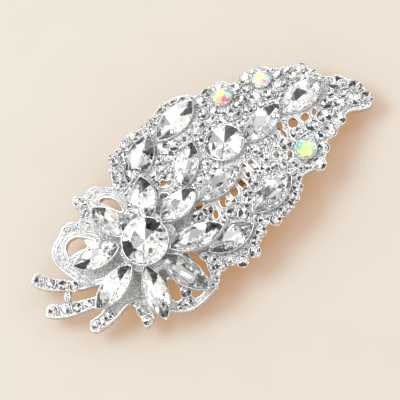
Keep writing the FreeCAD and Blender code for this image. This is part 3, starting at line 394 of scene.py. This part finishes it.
def tube(bm, pts, radius, closed=True, sides=6, mat=0, flat=1.0):
    """Round bead along a path given as (point, normal) pairs."""
    n = len(pts)
    rings = []
    for i in range(n):
        p, nn = pts[i]
        a = pts[(i - 1) % n][0] if (closed or i > 0) else p
        b = pts[(i + 1) % n][0] if (closed or i < n - 1) else p
        d = (b - a).normalized()
        side = d.cross(nn).normalized()
        up = side.cross(d).normalized()
        r = radius[i] if isinstance(radius, (list, tuple)) else radius
        rings.append([bm.verts.new(p + side * (math.cos(2 * math.pi * k / sides) * r) + up * (math.sin(2 * math.pi * k / sides) * r * flat)) for k in range(sides)])
    for i in range(n if closed else n - 1):
        j = (i + 1) % n
        for k in range(sides):
            l = (k + 1) % sides
            fc = bm.faces.new([rings[i][k], rings[i][l], rings[j][l], rings[j][k]])
            fc.material_index = mat
            fc.smooth = True
    if not closed:
        bm.faces.new(rings[0][::-1]).material_index = mat
        bm.faces.new(rings[-1]).material_index = mat


def bead(bm, c, nn, r, squash=0.8, mat=0, sub=2):
    """Small raised grain with its base in the metal."""
    t = nn.orthogonal().normalized()
    s = nn.cross(t)
    m = Matrix(((t.x * r, s.x * r, nn.x * r * squash, c.x), (t.y * r, s.y * r, nn.y * r * squash, c.y), (t.z * r, s.z * r, nn.z * r * squash, c.z), (0, 0, 0, 1)))
    res = bmesh.ops.create_icosphere(bm, subdivisions=sub, radius=1.0, matrix=m)
    for v in res["verts"]:
        for fc in v.link_faces:
            fc.material_index = mat
            fc.smooth = True


def smooth_loop(pts, rounds=2):
    for _ in range(rounds):
        out = []
        for i in range(len(pts)):
            a, b = pts[i], pts[(i + 1) % len(pts)]
            out += [(a[0] * 0.75 + b[0] * 0.25, a[1] * 0.75 + b[1] * 0.25), (a[0] * 0.25 + b[0] * 0.75, a[1] * 0.25 + b[1] * 0.75)]
        pts = out
    return pts


# ------------------------------------------------------------------ stones
STONES = {}
for name in sorted(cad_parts):
    if name.startswith("leaf_navette") or name.startswith("petal_stone"):
        STONES[name] = ("navette", [stone_frame(p, True) for p in islands(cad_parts[name])])
    elif name in ("centre_stone", "leaf_round_stone") or name.startswith("aurora"):
        STONES[name] = ("round", [stone_frame(p) for p in islands(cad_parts[name])])
    elif name.startswith("pave"):
        STONES[name] = ("pave", [stone_frame(p) for p in islands(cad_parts[name])])

AB_TINTS = {
    "aurora_stone_1": {"table": (0.95, 0.93, 0.35), "ring": [(0.15, 0.62, 0.62), (0.80, 0.86, 0.45), (0.35, 0.62, 0.95), (0.45, 0.68, 0.95), (0.85, 0.85, 0.45), (0.92, 0.55, 0.40), (0.92, 0.20, 0.28), (0.55, 0.90, 0.75)]},
    "aurora_stone_2": {"table": (0.95, 0.95, 0.42), "ring": [(0.40, 0.62, 0.95), (0.30, 0.72, 0.95), (0.92, 0.90, 0.55), (0.55, 0.78, 0.95), (0.80, 0.88, 0.60), (0.95, 0.72, 0.62), (0.90, 0.62, 0.78), (0.50, 0.88, 0.70)]},
    "aurora_stone_3": {"table": (0.70, 0.95, 0.40), "ring": [(0.75, 0.88, 0.50), (0.55, 0.85, 0.60), (0.30, 0.80, 0.72), (0.25, 0.68, 0.68), (0.62, 0.80, 0.35), (0.70, 0.78, 0.35), (0.80, 0.84, 0.40), (0.60, 0.86, 0.62)]},
}


def painted_reflection_facet_tones(n, dark, mid):
    """Brightness of the foil facets of one stone: most are bright, a few grey, a few near black. The grey and
    near-black facets are painted reflections, placed at random.
    """
    order = list(range(n))
    random.shuffle(order)
    tone = {}
    for k, i in enumerate(order):
        if k < dark:
            v = random.uniform(0.05, 0.12)
            tone[i] = (v, v * random.uniform(1.0, 1.25), v * random.uniform(1.0, 1.2), 1)
        elif k < dark + mid:
            v = random.uniform(0.38, 0.62)
            tone[i] = (v, v, v * 1.01, 1)
        else:
            v = random.uniform(0.88, 0.98)
            tone[i] = (v, v, v, 1)
    return lambda tag, i: tone[i] if tag == "pavilion" else (1, 1, 1, 1)


# painted reflections: where the dark and the grey facets lie on each large stone, as offsets across and down the main
# view, in quarter millimetres
PAINTED_REFLECTION_SPOTS = {
    "petal_stone_1": ([(3, -9)], [(-7, -10)]), "petal_stone_2": ([(7, -7)], []), "petal_stone_3": ([(17, -8)], [(1, -5)]),
    "petal_stone_4": ([(-11, -9)], [(8, -6)]), "petal_stone_5": ([(-4, -13)], [(4, 10)]), "petal_stone_6": ([(7, -10)], []),
    "petal_stone_7": ([(-15, 8)], [(12, -6)]), "petal_stone_8": ([(-4, -6)], []), "centre_stone": ([(9, -12), (-13, 9)], []),
    "leaf_navette_a": ([], [(4, -7)]), "leaf_navette_b": ([(7, -9)], []), "leaf_navette_c": ([], [(6, -5)]),
    "leaf_navette_d": ([(6, -12)], [(4, 2)]), "leaf_navette_e": ([(6, -6)], [(8, -16)]), "leaf_navette_f": ([(6, -5)], [(-9, 3)]),
    "leaf_navette_g": ([], [(-8, 0), (12, -6)]), "leaf_navette_h": ([(-8, -6)], []), "leaf_round_stone": ([(11, -12)], [(-9, -5)]),
}


def painted_reflection_placed_tones(name, fr, n, outline, spin):
    """Brightness per foil facet, with the dark ones at their own places on the stone: painted dark and grey
    reflections, placed by offsets in the main view; the rest bright, some navette facets light grey.
    """
    c, t, s, nn = fr
    at = []
    for i in range(n):
        x, y = outline(spin + 2 * math.pi * (i + 0.5) / n)
        q = t * (x * 0.6) + s * (y * 0.6)
        at.append((q.dot(right) * 4000, -q.dot(up) * 4000))
    tone = {}
    for spots, lo, hi in ((PAINTED_REFLECTION_SPOTS[name][0], 0.05, 0.11), (PAINTED_REFLECTION_SPOTS[name][1], 0.36, 0.56)):
        for sx, sy in spots:
            free = [i for i in range(n) if i not in tone]
            i = min(free, key=lambda k: math.hypot(at[k][0] - sx, at[k][1] - sy))
            v = random.uniform(lo, hi)
            k = 1.10 if hi < 0.2 else 1.01
            tone[i] = (v, v * random.uniform(1.0, k), v * random.uniform(1.0, k), 1)
    for i in range(n):
        if i not in tone:
            v = random.uniform(0.66, 0.82) if not name.startswith(("centre", "leaf_round")) and random.random() < 0.30 else random.uniform(0.94, 1.0)
            tone[i] = (v, v, v, 1)
    return lambda tag, i: tone[i] if tag == "pavilion" else (1, 1, 1, 1)


for name, (kind, frames_) in STONES.items():
    bm = bmesh.new()
    # this layer holds painted reflections for the foiled stones and the coat colours for the aurora stones
    layer = bm.loops.layers.float_color.new("facet_coat_and_painted_reflection")
    coated = name.startswith("aurora")
    # the foil brightness per facet set below is painted reflection: dark and grey facets stand in for reflected dark
    # surroundings
    for (c, t, s, nn, hl, hw, h0, h1) in frames_:
        depth = h1 - h0
        circle = lambda a, r=hl: (r * math.cos(a), r * math.sin(a))
        if kind == "navette":
            gz = h0 + depth * 0.55
            fr = (c + nn * gz, t, s, nn)
            outline = lambda a, hl=hl, hw=hw: navette_pt(a, hl, hw)
            add_gem(bm, fr, 8, outline, h1 - gz, h0 - gz, 0.50, 0.00008, tint=painted_reflection_placed_tones(name, fr, 8, outline, 0.0), layer=layer, keel=hl * random.uniform(0.22, 0.4))
        elif kind == "round" and not coated:
            gz = h0 + depth * (0.55 if name == "leaf_round_stone" else 0.47)
            fr = (c + nn * gz, t, s, nn)
            add_gem(bm, fr, 8, circle, h1 - gz, h0 - gz, 0.52, 0.00008, spin=0.2, tint=painted_reflection_placed_tones(name, fr, 8, circle, 0.2), layer=layer)
        elif kind == "round":
            gz = h0 + depth * 0.5
            fr = (c + nn * gz, t, s, nn)
            tn = AB_TINTS[name]

            def tint(tag, i, tn=tn):
                if tag == "table":
                    return (*tn["table"], 1)
                base = tn["ring"][i % 8]
                k = {"star": 1.05, "kite": 1.0, "upper": 0.85}.get(tag, 0.7)
                return (min(1, base[0] * k), min(1, base[1] * k), min(1, base[2] * k), 1)
            add_gem(bm, fr, 8, circle, h1 - gz, h0 - gz, 0.50, 0.00006, mats=(0, 0), tint=tint, layer=layer)
        else:
            gz = h0 + depth * 0.48
            fr = (c + nn * gz, t, s, nn)
            # pave stones: dark and grey foil facets are painted reflections
            add_gem(bm, fr, 7, circle, h1 - gz, h0 - gz, 0.52, 0.00004, spin=random.uniform(0, 0.7), tint=painted_reflection_facet_tones(7, random.choice((1, 2, 2)), 1), layer=layer)
    mats = [AURORA] if coated else [CRYSTAL, FOIL]
    finish_piece("cut_" + name, bm, mats, replaces=(name,))

# ------------------------------------------------------------------ casting skin
def skin(name, src, voxel, rounds, mat):
    """The CAD casting's own form with softened, cast edges."""
    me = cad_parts[src].data.copy()
    o = bpy.data.objects.new(name, me)
    scene.collection.objects.link(o)
    me.materials.clear()
    bm = bmesh.new()
    bm.from_mesh(me)
    bmesh.ops.remove_doubles(bm, verts=bm.verts, dist=1e-7)
    bm.to_mesh(me)
    bm.free()
    for kind, kw in (("REMESH", dict(mode="VOXEL", voxel_size=voxel, adaptivity=0.0)), ("SMOOTH", dict(factor=0.5, iterations=rounds))):
        md = o.modifiers.new(kind.lower(), kind)
        for k, v in kw.items():
            setattr(md, k, v)
    dg = bpy.context.evaluated_depsgraph_get()
    new = bpy.data.meshes.new_from_object(o.evaluated_get(dg))
    o.modifiers.clear()
    o.data = new
    new.materials.clear()
    new.materials.append(mat)
    new.materials.append(SILVER)
    new.materials.append(CAST_BACK)
    num = len(new.polygons)
    cen, nrm = np.zeros(num * 3), np.zeros(num * 3)
    new.polygons.foreach_get("center", cen)
    new.polygons.foreach_get("normal", nrm)
    cen, nrm = cen.reshape(-1, 3), nrm.reshape(-1, 3)
    x, y = cen[:, 0] / MM - SHIFT.x, cen[:, 1] / MM - SHIFT.y
    above = cen[:, 2] / MM - SHIFT.z + RL - np.sqrt(np.maximum((RL - RC + np.sqrt(np.maximum(RC ** 2 - y ** 2, 1))) ** 2 - x ** 2, 1))
    wall = np.zeros(num, bool)
    for poly in WINDOWS.values():
        a = np.array(poly)
        m_ = a.mean(0)
        reach = np.hypot(*(a - m_).T).max() + 0.5
        wall |= (np.hypot(x - m_[0], y - m_[1]) < reach) & (np.abs(nrm[:, 2]) < 0.6) & (above < -0.12)
    idx = np.where(nrm[:, 2] < -0.3, 2, np.where(wall, 1, 0)).astype(np.int32)
    new.polygons.foreach_set("material_index", idx)
    for p in new.polygons:
        p.use_smooth = True
    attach(o, ROOT)
    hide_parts(src)
    return o


VOX = 0.00022
leaf_skin = skin("casting_leaf", "leaf_casting", VOX, 2, GLITTER)
flower_skin = skin("casting_flower", "flower_setting", VOX, 2, GLITTER)

dg = bpy.context.evaluated_depsgraph_get()


def surface(obj):
    bm = bmesh.new()
    bm.from_mesh(obj.data)
    tree = BVHTree.FromBMesh(bm)
    bm.free()
    return tree


LEAF_TREE = surface(leaf_skin)


def drop(x, y, lift=0.0):
    """Point on the casting's face under plan position x, y in millimetres, or None over a window."""
    o = (Vector((x, y, 30)) + Vector((SHIFT.x, SHIFT.y, 0))) * MM
    hit, nn, _, _ = LEAF_TREE.ray_cast(o, Vector((0, 0, -1)))
    if hit is None:
        return None
    return hit + dome_n(x, y) * (lift * MM), dome_n(x, y)


# raised rims along the silhouette and round each window
def edge_path(poly, inset, up, step=0.45):
    pts = smooth_loop(poly, 2)
    area = sum(pts[i][0] * pts[(i + 1) % len(pts)][1] - pts[(i + 1) % len(pts)][0] * pts[i][1] for i in range(len(pts)))
    sg = 1 if area > 0 else -1
    out = []
    for i in range(len(pts)):
        a, b = pts[i - 1], pts[(i + 1) % len(pts)]
        d = Vector((b[0] - a[0], b[1] - a[1])).normalized()
        nrm = Vector((-d.y, d.x)) * sg
        x, y = pts[i][0] + nrm.x * inset, pts[i][1] + nrm.y * inset
        if not out or math.hypot(x - out[-1][0], y - out[-1][1]) > step:
            out.append((x, y))
    return [(on_dome(x, y, up), dome_n(x, y)) for x, y in out]


bm = bmesh.new()
for name, poly in WINDOWS.items():
    big = name in ("l1", "l2", "h18", "h19", "h20")
    tube(bm, edge_path(poly, -0.22, 0.06), (0.30 if big else 0.20) * MM, sides=8)
finish_piece("window_rims", bm, [SILVER])


def inside(x, y, poly):
    c = False
    for i in range(len(poly)):
        (x1, y1), (x2, y2) = poly[i - 1], poly[i]
        if (y1 > y) != (y2 > y) and x < (x2 - x1) * (y - y1) / (y2 - y1) + x1:
            c = not c
    return c


def outer_runs(poly, others, rounds=2):
    """Stretches of an outline that aren't inside a neighbouring outline."""
    pts = smooth_loop(poly, rounds)
    keep = [not any(inside(x, y, o) for o in others) for x, y in pts]
    runs, cur = [], []
    if all(keep):
        return [(pts, True)]
    start = keep.index(False)
    for k in range(len(pts)):
        i = (start + k) % len(pts)
        if keep[i]:
            cur.append(pts[i])
        elif cur:
            runs.append((cur, False))
            cur = []
    if cur:
        runs.append((cur, False))
    return [r for r in runs if len(r[0]) > 3]


OUTLINES = {"leaf": LEAF, **LIMBS}
bm = bmesh.new()
for name, poly in OUTLINES.items():
    rest = [p for k, p in OUTLINES.items() if k != name]
    area = sum(poly[i][0] * poly[(i + 1) % len(poly)][1] - poly[(i + 1) % len(poly)][0] * poly[i][1] for i in range(len(poly)))
    sg = 1 if area > 0 else -1
    for pts, closed in outer_runs(poly, rest, 1 if name.startswith("stem") else 2):
        path = []
        for i in range(len(pts)):
            a, b = pts[max(i - 1, 0)], pts[min(i + 1, len(pts) - 1)]
            d = Vector((b[0] - a[0], b[1] - a[1])).normalized()
            x, y = pts[i][0] - d.y * sg * 0.22, pts[i][1] + d.x * sg * 0.22
            if not path or (on_dome(x, y, 0.05) - path[-1][0]).length > 0.00035:
                path.append((on_dome(x, y, 0.05), dome_n(x, y)))
        if len(path) > 3:
            tube(bm, path, (0.22 if name == "leaf" else 0.30) * MM, closed=closed, sides=8)
finish_piece("edge_rims", bm, [SILVER])

# ribbons: a second fine line and a row of milgrain inside each raised edge
bm, bm_m = bmesh.new(), bmesh.new()


def spaced(pts, step):
    """Points at an even step along an open or closed run."""
    out, left = [pts[0]], step
    for i in range(1, len(pts)):
        a, b = Vector(pts[i - 1]), Vector(pts[i])
        seg = (b - a).length
        at = left
        while at < seg:
            q = a.lerp(b, at / seg)
            out.append((q.x, q.y))
            at += step
        left = at - seg
    return out


def offset_run(pts, closed, sg, inset):
    out = []
    for i in range(len(pts)):
        a = pts[(i - 1) % len(pts)] if closed else pts[max(i - 1, 0)]
        b = pts[(i + 1) % len(pts)] if closed else pts[min(i + 1, len(pts) - 1)]
        d = Vector((b[0] - a[0], b[1] - a[1])).normalized()
        out.append((pts[i][0] - d.y * sg * inset, pts[i][1] + d.x * sg * inset))
    return out


def turn(poly):
    return 1 if sum(poly[i][0] * poly[(i + 1) % len(poly)][1] - poly[(i + 1) % len(poly)][0] * poly[i][1] for i in range(len(poly))) > 0 else -1


def on_metal(x, y):
    return any(inside(x, y, o) for o in OUTLINES.values()) and not any(inside(x, y, w_) for w_ in WINDOWS.values())


for name in ("loop1", "loop2"):
    poly = OUTLINES[name]
    rest = [p for k, p in OUTLINES.items() if k != name]
    for pts, closed in outer_runs(poly, rest):
        row = spaced(offset_run(pts, closed, turn(poly), 0.80), 0.47)
        for x, y in row:
            bead(bm_m, on_dome(x, y, 0.06), dome_n(x, y), 0.19 * MM, 1.0, sub=1)
        line = [q for q in spaced(offset_run(pts, closed, turn(poly), 1.25), 0.5) if on_metal(*q)]
        if len(line) > 4:
            tube(bm, [(on_dome(x, y, 0.10), dome_n(x, y)) for x, y in line], 0.18 * MM, closed=False, sides=6)
for name in ("l1", "l2"):
    poly = WINDOWS[name]
    pts = smooth_loop(poly, 2)
    for x, y in spaced(offset_run(pts + pts[:1], False, turn(poly), -0.82), 0.47):
        if on_metal(x, y):
            bead(bm_m, on_dome(x, y, 0.06), dome_n(x, y), 0.19 * MM, 1.0, sub=1)
    line = offset_run(pts, True, turn(poly), -1.25)
    tube(bm, [(on_dome(x, y, 0.10), dome_n(x, y)) for x, y in line], 0.18 * MM, closed=True, sides=6)
(wx, wy), (vx, vy) = WINDOWS["h16"][0], WINDOWS["h16"][3]
span = math.hypot(vx - wx, vy - wy)
ux, uy = (vx - wx) / span, (vy - wy) / span
row = [(wx + ux * k + uy * 0.31, wy + uy * k - ux * 0.31) for k in (-0.84, 6.18)]
for x, y in spaced(row, 0.52):
    bead(bm_m, on_dome(x, y, 0.10), dome_n(x, y), 0.23 * MM, 1.1, sub=2)
finish_piece("ribbon_lines", bm, [SILVER])
finish_piece("ribbon_milgrain", bm_m, [BEADED])

# small prong ends standing along the leaf's own edge
bm = bmesh.new()
for pts, closed in outer_runs(LEAF, [p for k, p in OUTLINES.items() if k != "leaf"]):
    for i, (x, y) in enumerate(spaced(offset_run(pts, closed, turn(LEAF), 0.28), 0.82)):
        r = 0.30 + 0.07 * math.sin(i * 2.4)
        bead(bm, on_dome(x, y, 0.16), dome_n(x, y), r * MM, 1.15)
finish_piece("edge_beads", bm, [BEADED])

# ------------------------------------------------------------------ settings
bm_b, bm_p, bm_g = bmesh.new(), bmesh.new(), bmesh.new()
big_discs = []
for name, (kind, frames_) in STONES.items():
    for (c, t, s, nn, hl, hw, h0, h1) in frames_:
        depth = h1 - h0
        if kind == "navette":
            big_discs.append((c, max(hl, hw)))
            gz = h0 + depth * 0.55
            N = 44
            ring = []
            for i in range(N):
                x, y = navette_pt(2 * math.pi * i / N, hl + 0.00022, hw + 0.00016)
                ring.append((c + t * x + s * y + nn * (gz - 0.00012), nn))
            tube(bm_b, ring, 0.10 * MM, sides=8)
            # four claws: one at each tip and one mid-way along each side
            for ang, r in ((0, 0.34), (math.pi, 0.34), (math.pi / 2, 0.24), (3 * math.pi / 2, 0.24)):
                x, y = navette_pt(ang, hl + 0.0002, hw + 0.00016)
                p0 = c + t * x + s * y + nn * (gz - 0.0009)
                inw = -(t * x + s * y).normalized()
                p1 = c + t * x + s * y + nn * (gz + 0.00026)
                p2 = p1 + inw * 0.00062 + nn * 0.00018
                tube(bm_p, [(p0, inw), (p0.lerp(p1, 0.5), inw), (p1, inw), (p1.lerp(p2, 0.55) + nn * 0.00009, nn), (p2, nn)], [r * MM, r * MM, r * 0.95 * MM, r * 0.8 * MM, r * 0.45 * MM], closed=False, sides=8)
        elif kind == "round":
            gz = h0 + depth * (0.55 if name == "leaf_round_stone" else 0.5 if name.startswith("aurora") else 0.47)
            N = 40
            if name != "centre_stone":
                ring = [(c + (t * math.cos(2 * math.pi * i / N) + s * math.sin(2 * math.pi * i / N)) * (hl + 0.00017) + nn * (gz - 0.00005), nn) for i in range(N)]
                tube(bm_b, ring, 0.12 * MM, sides=8)
            k = 8 if hl > 0.004 else 6
            for i in range(k):
                a = 2 * math.pi * (i + 0.5) / k
                d = t * math.cos(a) + s * math.sin(a)
                r = 0.36 if hl > 0.004 else 0.26
                p0 = c + d * (hl + 0.00028) + nn * (gz - 0.0008)
                p1 = c + d * (hl + 0.00022) + nn * (gz + 0.00022)
                p2 = p1 - d * 0.00055 + nn * 0.00016
                tube(bm_p, [(p0, -d), (p1, -d), (p1.lerp(p2, 0.5) + nn * 0.00006, nn), (p2, nn)], [r * MM, r * 0.95 * MM, r * 0.8 * MM, r * 0.45 * MM], closed=False, sides=8)
        else:
            gz = h0 + depth * 0.36
            N = 18
            ring = [(c + (t * math.cos(2 * math.pi * i / N) + s * math.sin(2 * math.pi * i / N)) * (hl + 0.00009) + nn * (gz - 0.0001), nn) for i in range(N)]
            tube(bm_b, ring, (0.11 if hl < 0.0013 else 0.13) * MM, sides=6)
            k = 4 if hl < 0.0011 else 6
            a0 = random.uniform(0, 1.5)
            for i in range(k):
                a = a0 + 2 * math.pi * i / k
                d = t * math.cos(a) + s * math.sin(a)
                bead(bm_g, c + d * (hl + 0.00012) + nn * (gz + 0.00002), nn, 0.22 * MM, 1.25)
finish_piece("bezels", bm_b, [SILVER])
finish_piece("claws", bm_p, [BEADED])
finish_piece("pave_beads", bm_g, [BEADED])

# loose grains that fill the ground between the stones
kd_pts = []
for name, (kind, frames_) in STONES.items():
    for (c, t, s, nn, hl, hw, h0, h1) in frames_:
        kd_pts.append((c, t, s, nn, hl, hw, kind, name))


def free_ground(p, margin):
    for (c, t, s, nn, hl, hw, kind, name) in kd_pts:
        q = p - c
        if name.startswith("petal") or name == "centre_stone":
            continue
        a, b_ = q.dot(t), q.dot(s)
        if abs(a) > hl + 0.002 or abs(b_) > hw + 0.002:
            continue
        if kind == "navette":
            rad = (hl ** 2 + hw ** 2) / (2 * hw)
            if math.hypot(a, abs(b_) + rad - hw) < rad + margin and abs(a) < hl + margin:
                return False
        elif math.hypot(a, b_) < hl + margin:
            return False
    return True


bm = bmesh.new()
lo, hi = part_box("leaf_casting")
placed_pts = []
grid = {}
tries = 26000
for _ in range(tries):
    x, y = rng.uniform(lo.x / MM - SHIFT.x, hi.x / MM - SHIFT.x), rng.uniform(lo.y / MM - SHIFT.y, hi.y / MM - SHIFT.y)
    if any(inside(x, y, w) for w in WINDOWS.values()):
        continue
    if inside(x, y, LEAF):
        r = rng.uniform(0.14, 0.30)
    elif any(inside(x, y, LIMBS[k]) for k in ("loop1", "loop2")):
        r = rng.uniform(0.12, 0.20)
    else:
        continue
    cell = (int(x / 0.7), int(y / 0.7))
    if any(math.hypot(x - a, y - b_) < r + q + 0.02 for i in (-1, 0, 1) for j in (-1, 0, 1) for a, b_, q in grid.get((cell[0] + i, cell[1] + j), [])):
        continue
    p = on_dome(x, y)
    if not free_ground(p, (r + 0.28) * MM):
        continue
    grid.setdefault(cell, []).append((x, y, r))
    bead(bm, on_dome(x, y, -0.03), dome_n(x, y), r * MM, 0.8, sub=1)
finish_piece("ground_grains", bm, [BEADED])

# ------------------------------------------------------------------ CAD nodes that stay
for name in ("base_bar", "hinge_bracket", "hinge_pin", "clip_rivets", "latch_base", "swing_arm", "tension_bow", "latch_prong_left", "latch_prong_right"):
    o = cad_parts[name]
    o.data.materials.clear()
    o.data.materials.append(STEEL)
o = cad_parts["flower_rivet"]
o.data.materials.clear()
o.data.materials.append(SILVER)

# centre cup: the CAD profile, turned, with a scalloped gallery; its eight fine claws are made with the other settings
# above
c, t, s, nn, hl, hw, h0, h1 = STONES["centre_stone"][1][0]
girdle_z = h0 + (h1 - h0) * 0.47
foot = c + nn * (girdle_z - 0.0036)
PROFILE = [(0.9, 0.6), (0.9, 0.06), (3.55, 0.04), (3.8, 0.25), (3.8, 1.5), (4.1, 1.85), (5.6, 2.62), (6.05, 2.9), (6.13, 3.1), (6.13, 3.5), (6.02, 3.6), (5.92, 3.52), (5.9, 3.0), (5.7, 2.85), (3.3, 1.62), (3.1, 1.3), (1.9, 1.25), (1.8, 0.7)]
bm = bmesh.new()
SEG = 96
rings = []
for (r, z) in PROFILE:
    ring = []
    for i in range(SEG):
        a = 2 * math.pi * i / SEG
        k = math.cos(8 * a)
        rr, zz = r, z
        if 4.0 < r and 1.7 < z < 3.05:
            rr = r - 0.10 * (1 - k) * 0.5
        if r > 5.85 and z > 3.3:
            zz = z - 0.10 * (1 - k) * 0.5
        ring.append(bm.verts.new(foot + t * (rr * MM * math.cos(a)) + s * (rr * MM * math.sin(a)) + nn * (zz * MM)))
    rings.append(ring)
for q in range(len(rings)):
    w_ = (q + 1) % len(rings)
    for i in range(SEG):
        j = (i + 1) % SEG
        bm.faces.new([rings[q][i], rings[q][j], rings[w_][j], rings[w_][i]]).smooth = True
finish_piece("centre_cup_turned", bm, [SILVER], replaces=("centre_cup",))

# ------------------------------------------------------------------ stage, light, camera
me = bpy.data.meshes.new("floor")
bm = bmesh.new()
bmesh.ops.create_grid(bm, x_segments=2, y_segments=2, size=1.6)
bm.to_mesh(me)
bm.free()
floor = bpy.data.objects.new("floor", me)
floor.location = (0, 0, -0.00002)
scene.collection.objects.link(floor)
m, nt, b = new_mat("pale_paper_painted_warm_glow")
n = node(nt, "ShaderNodeTexNoise")
n.inputs["Scale"].default_value = 60
nt.links.new(coords(nt), n.inputs["Vector"])
# cool base colour that offsets the orange glow below, so lit paper reads cream
nt.links.new(ramp(nt, n.outputs["Fac"], [(0.3, (0.275, 0.392, 0.420, 1)), (0.7, (0.285, 0.402, 0.430, 1))]), b.inputs["Base Color"])
# the paper glows weak orange everywhere: painted warm shade, seen under and around the clip and through its windows
b.inputs["Emission Color"].default_value = (1.0, 0.36, 0.02, 1)
b.inputs["Emission Strength"].default_value = 0.40
b.inputs["Roughness"].default_value = 0.9
b.inputs["Specular IOR Level"].default_value = 0.1
me.materials.append(m)

aim = Vector((-1.106 + SHIFT.x, -5.395 + SHIFT.y, SHIFT.z)) * MM
cam_d = bpy.data.cameras.new("camera")
cam_d.sensor_width = 36
cam_d.lens = 180
cam = bpy.data.objects.new("camera", cam_d)
cam.matrix_world = Matrix(((right.x, up.x, back.x, 0), (right.y, up.y, back.y, 0), (right.z, up.z, back.z, 0), (0, 0, 0, 1)))
cam.location = aim + back * DIST
scene.collection.objects.link(cam)
scene.camera = cam


def softbox(name, loc, size, watts, colour=(1, 1, 1), target=(0, 0, 0.01)):
    d = bpy.data.lights.new(name, "AREA")
    d.shape = "RECTANGLE"
    d.size, d.size_y = size
    d.energy = watts
    d.color = colour
    o = bpy.data.objects.new(name, d)
    o.location = loc
    o.rotation_euler = (Vector(target) - Vector(loc)).to_track_quat("-Z", "Y").to_euler()
    scene.collection.objects.link(o)
    return o


# image directions carried to the table: upper left of the frame is -right + up
key_dir = (up * 0.50 - right * 1.0 + back * 1.10).normalized()
softbox("key", key_dir * 0.75, (0.44, 0.44), 4.0, (1, 0.99, 0.98))
fill_dir = (-up * 0.3 + right * 1.0 + back * 0.9).normalized()
softbox("fill", fill_dir * 0.9, (0.35, 0.12), 0.4)
softbox("strip_a", (back + up * 0.95 + right * 0.5).normalized() * 0.8, (0.10, 0.45), 0.8)
w = bpy.data.worlds.new("studio")
scene.world = w
w.use_nodes = True
nt = w.node_tree
bg = nt.nodes["Background"]
tc = node(nt, "ShaderNodeTexCoord")
n = node(nt, "ShaderNodeTexNoise")
n.inputs["Scale"].default_value = 2.6
n.inputs["Detail"].default_value = 2
nt.links.new(tc.outputs["Generated"], n.inputs["Vector"])
nt.links.new(ramp(nt, n.outputs["Fac"], [(0.365, (0.04, 0.04, 0.04, 1)), (0.41, (0.45, 0.45, 0.45, 1)), (0.45, (1.07, 1.06, 1.045, 1)), (0.62, (1.22, 1.21, 1.20, 1))]), bg.inputs["Color"])
bg.inputs["Strength"].default_value = 1.0
scene.view_settings.view_transform = "Standard"
scene.cycles.use_denoising = True
scene.cycles.max_bounces = 24
scene.cycles.glossy_bounces = 16
scene.cycles.transmission_bounces = 24
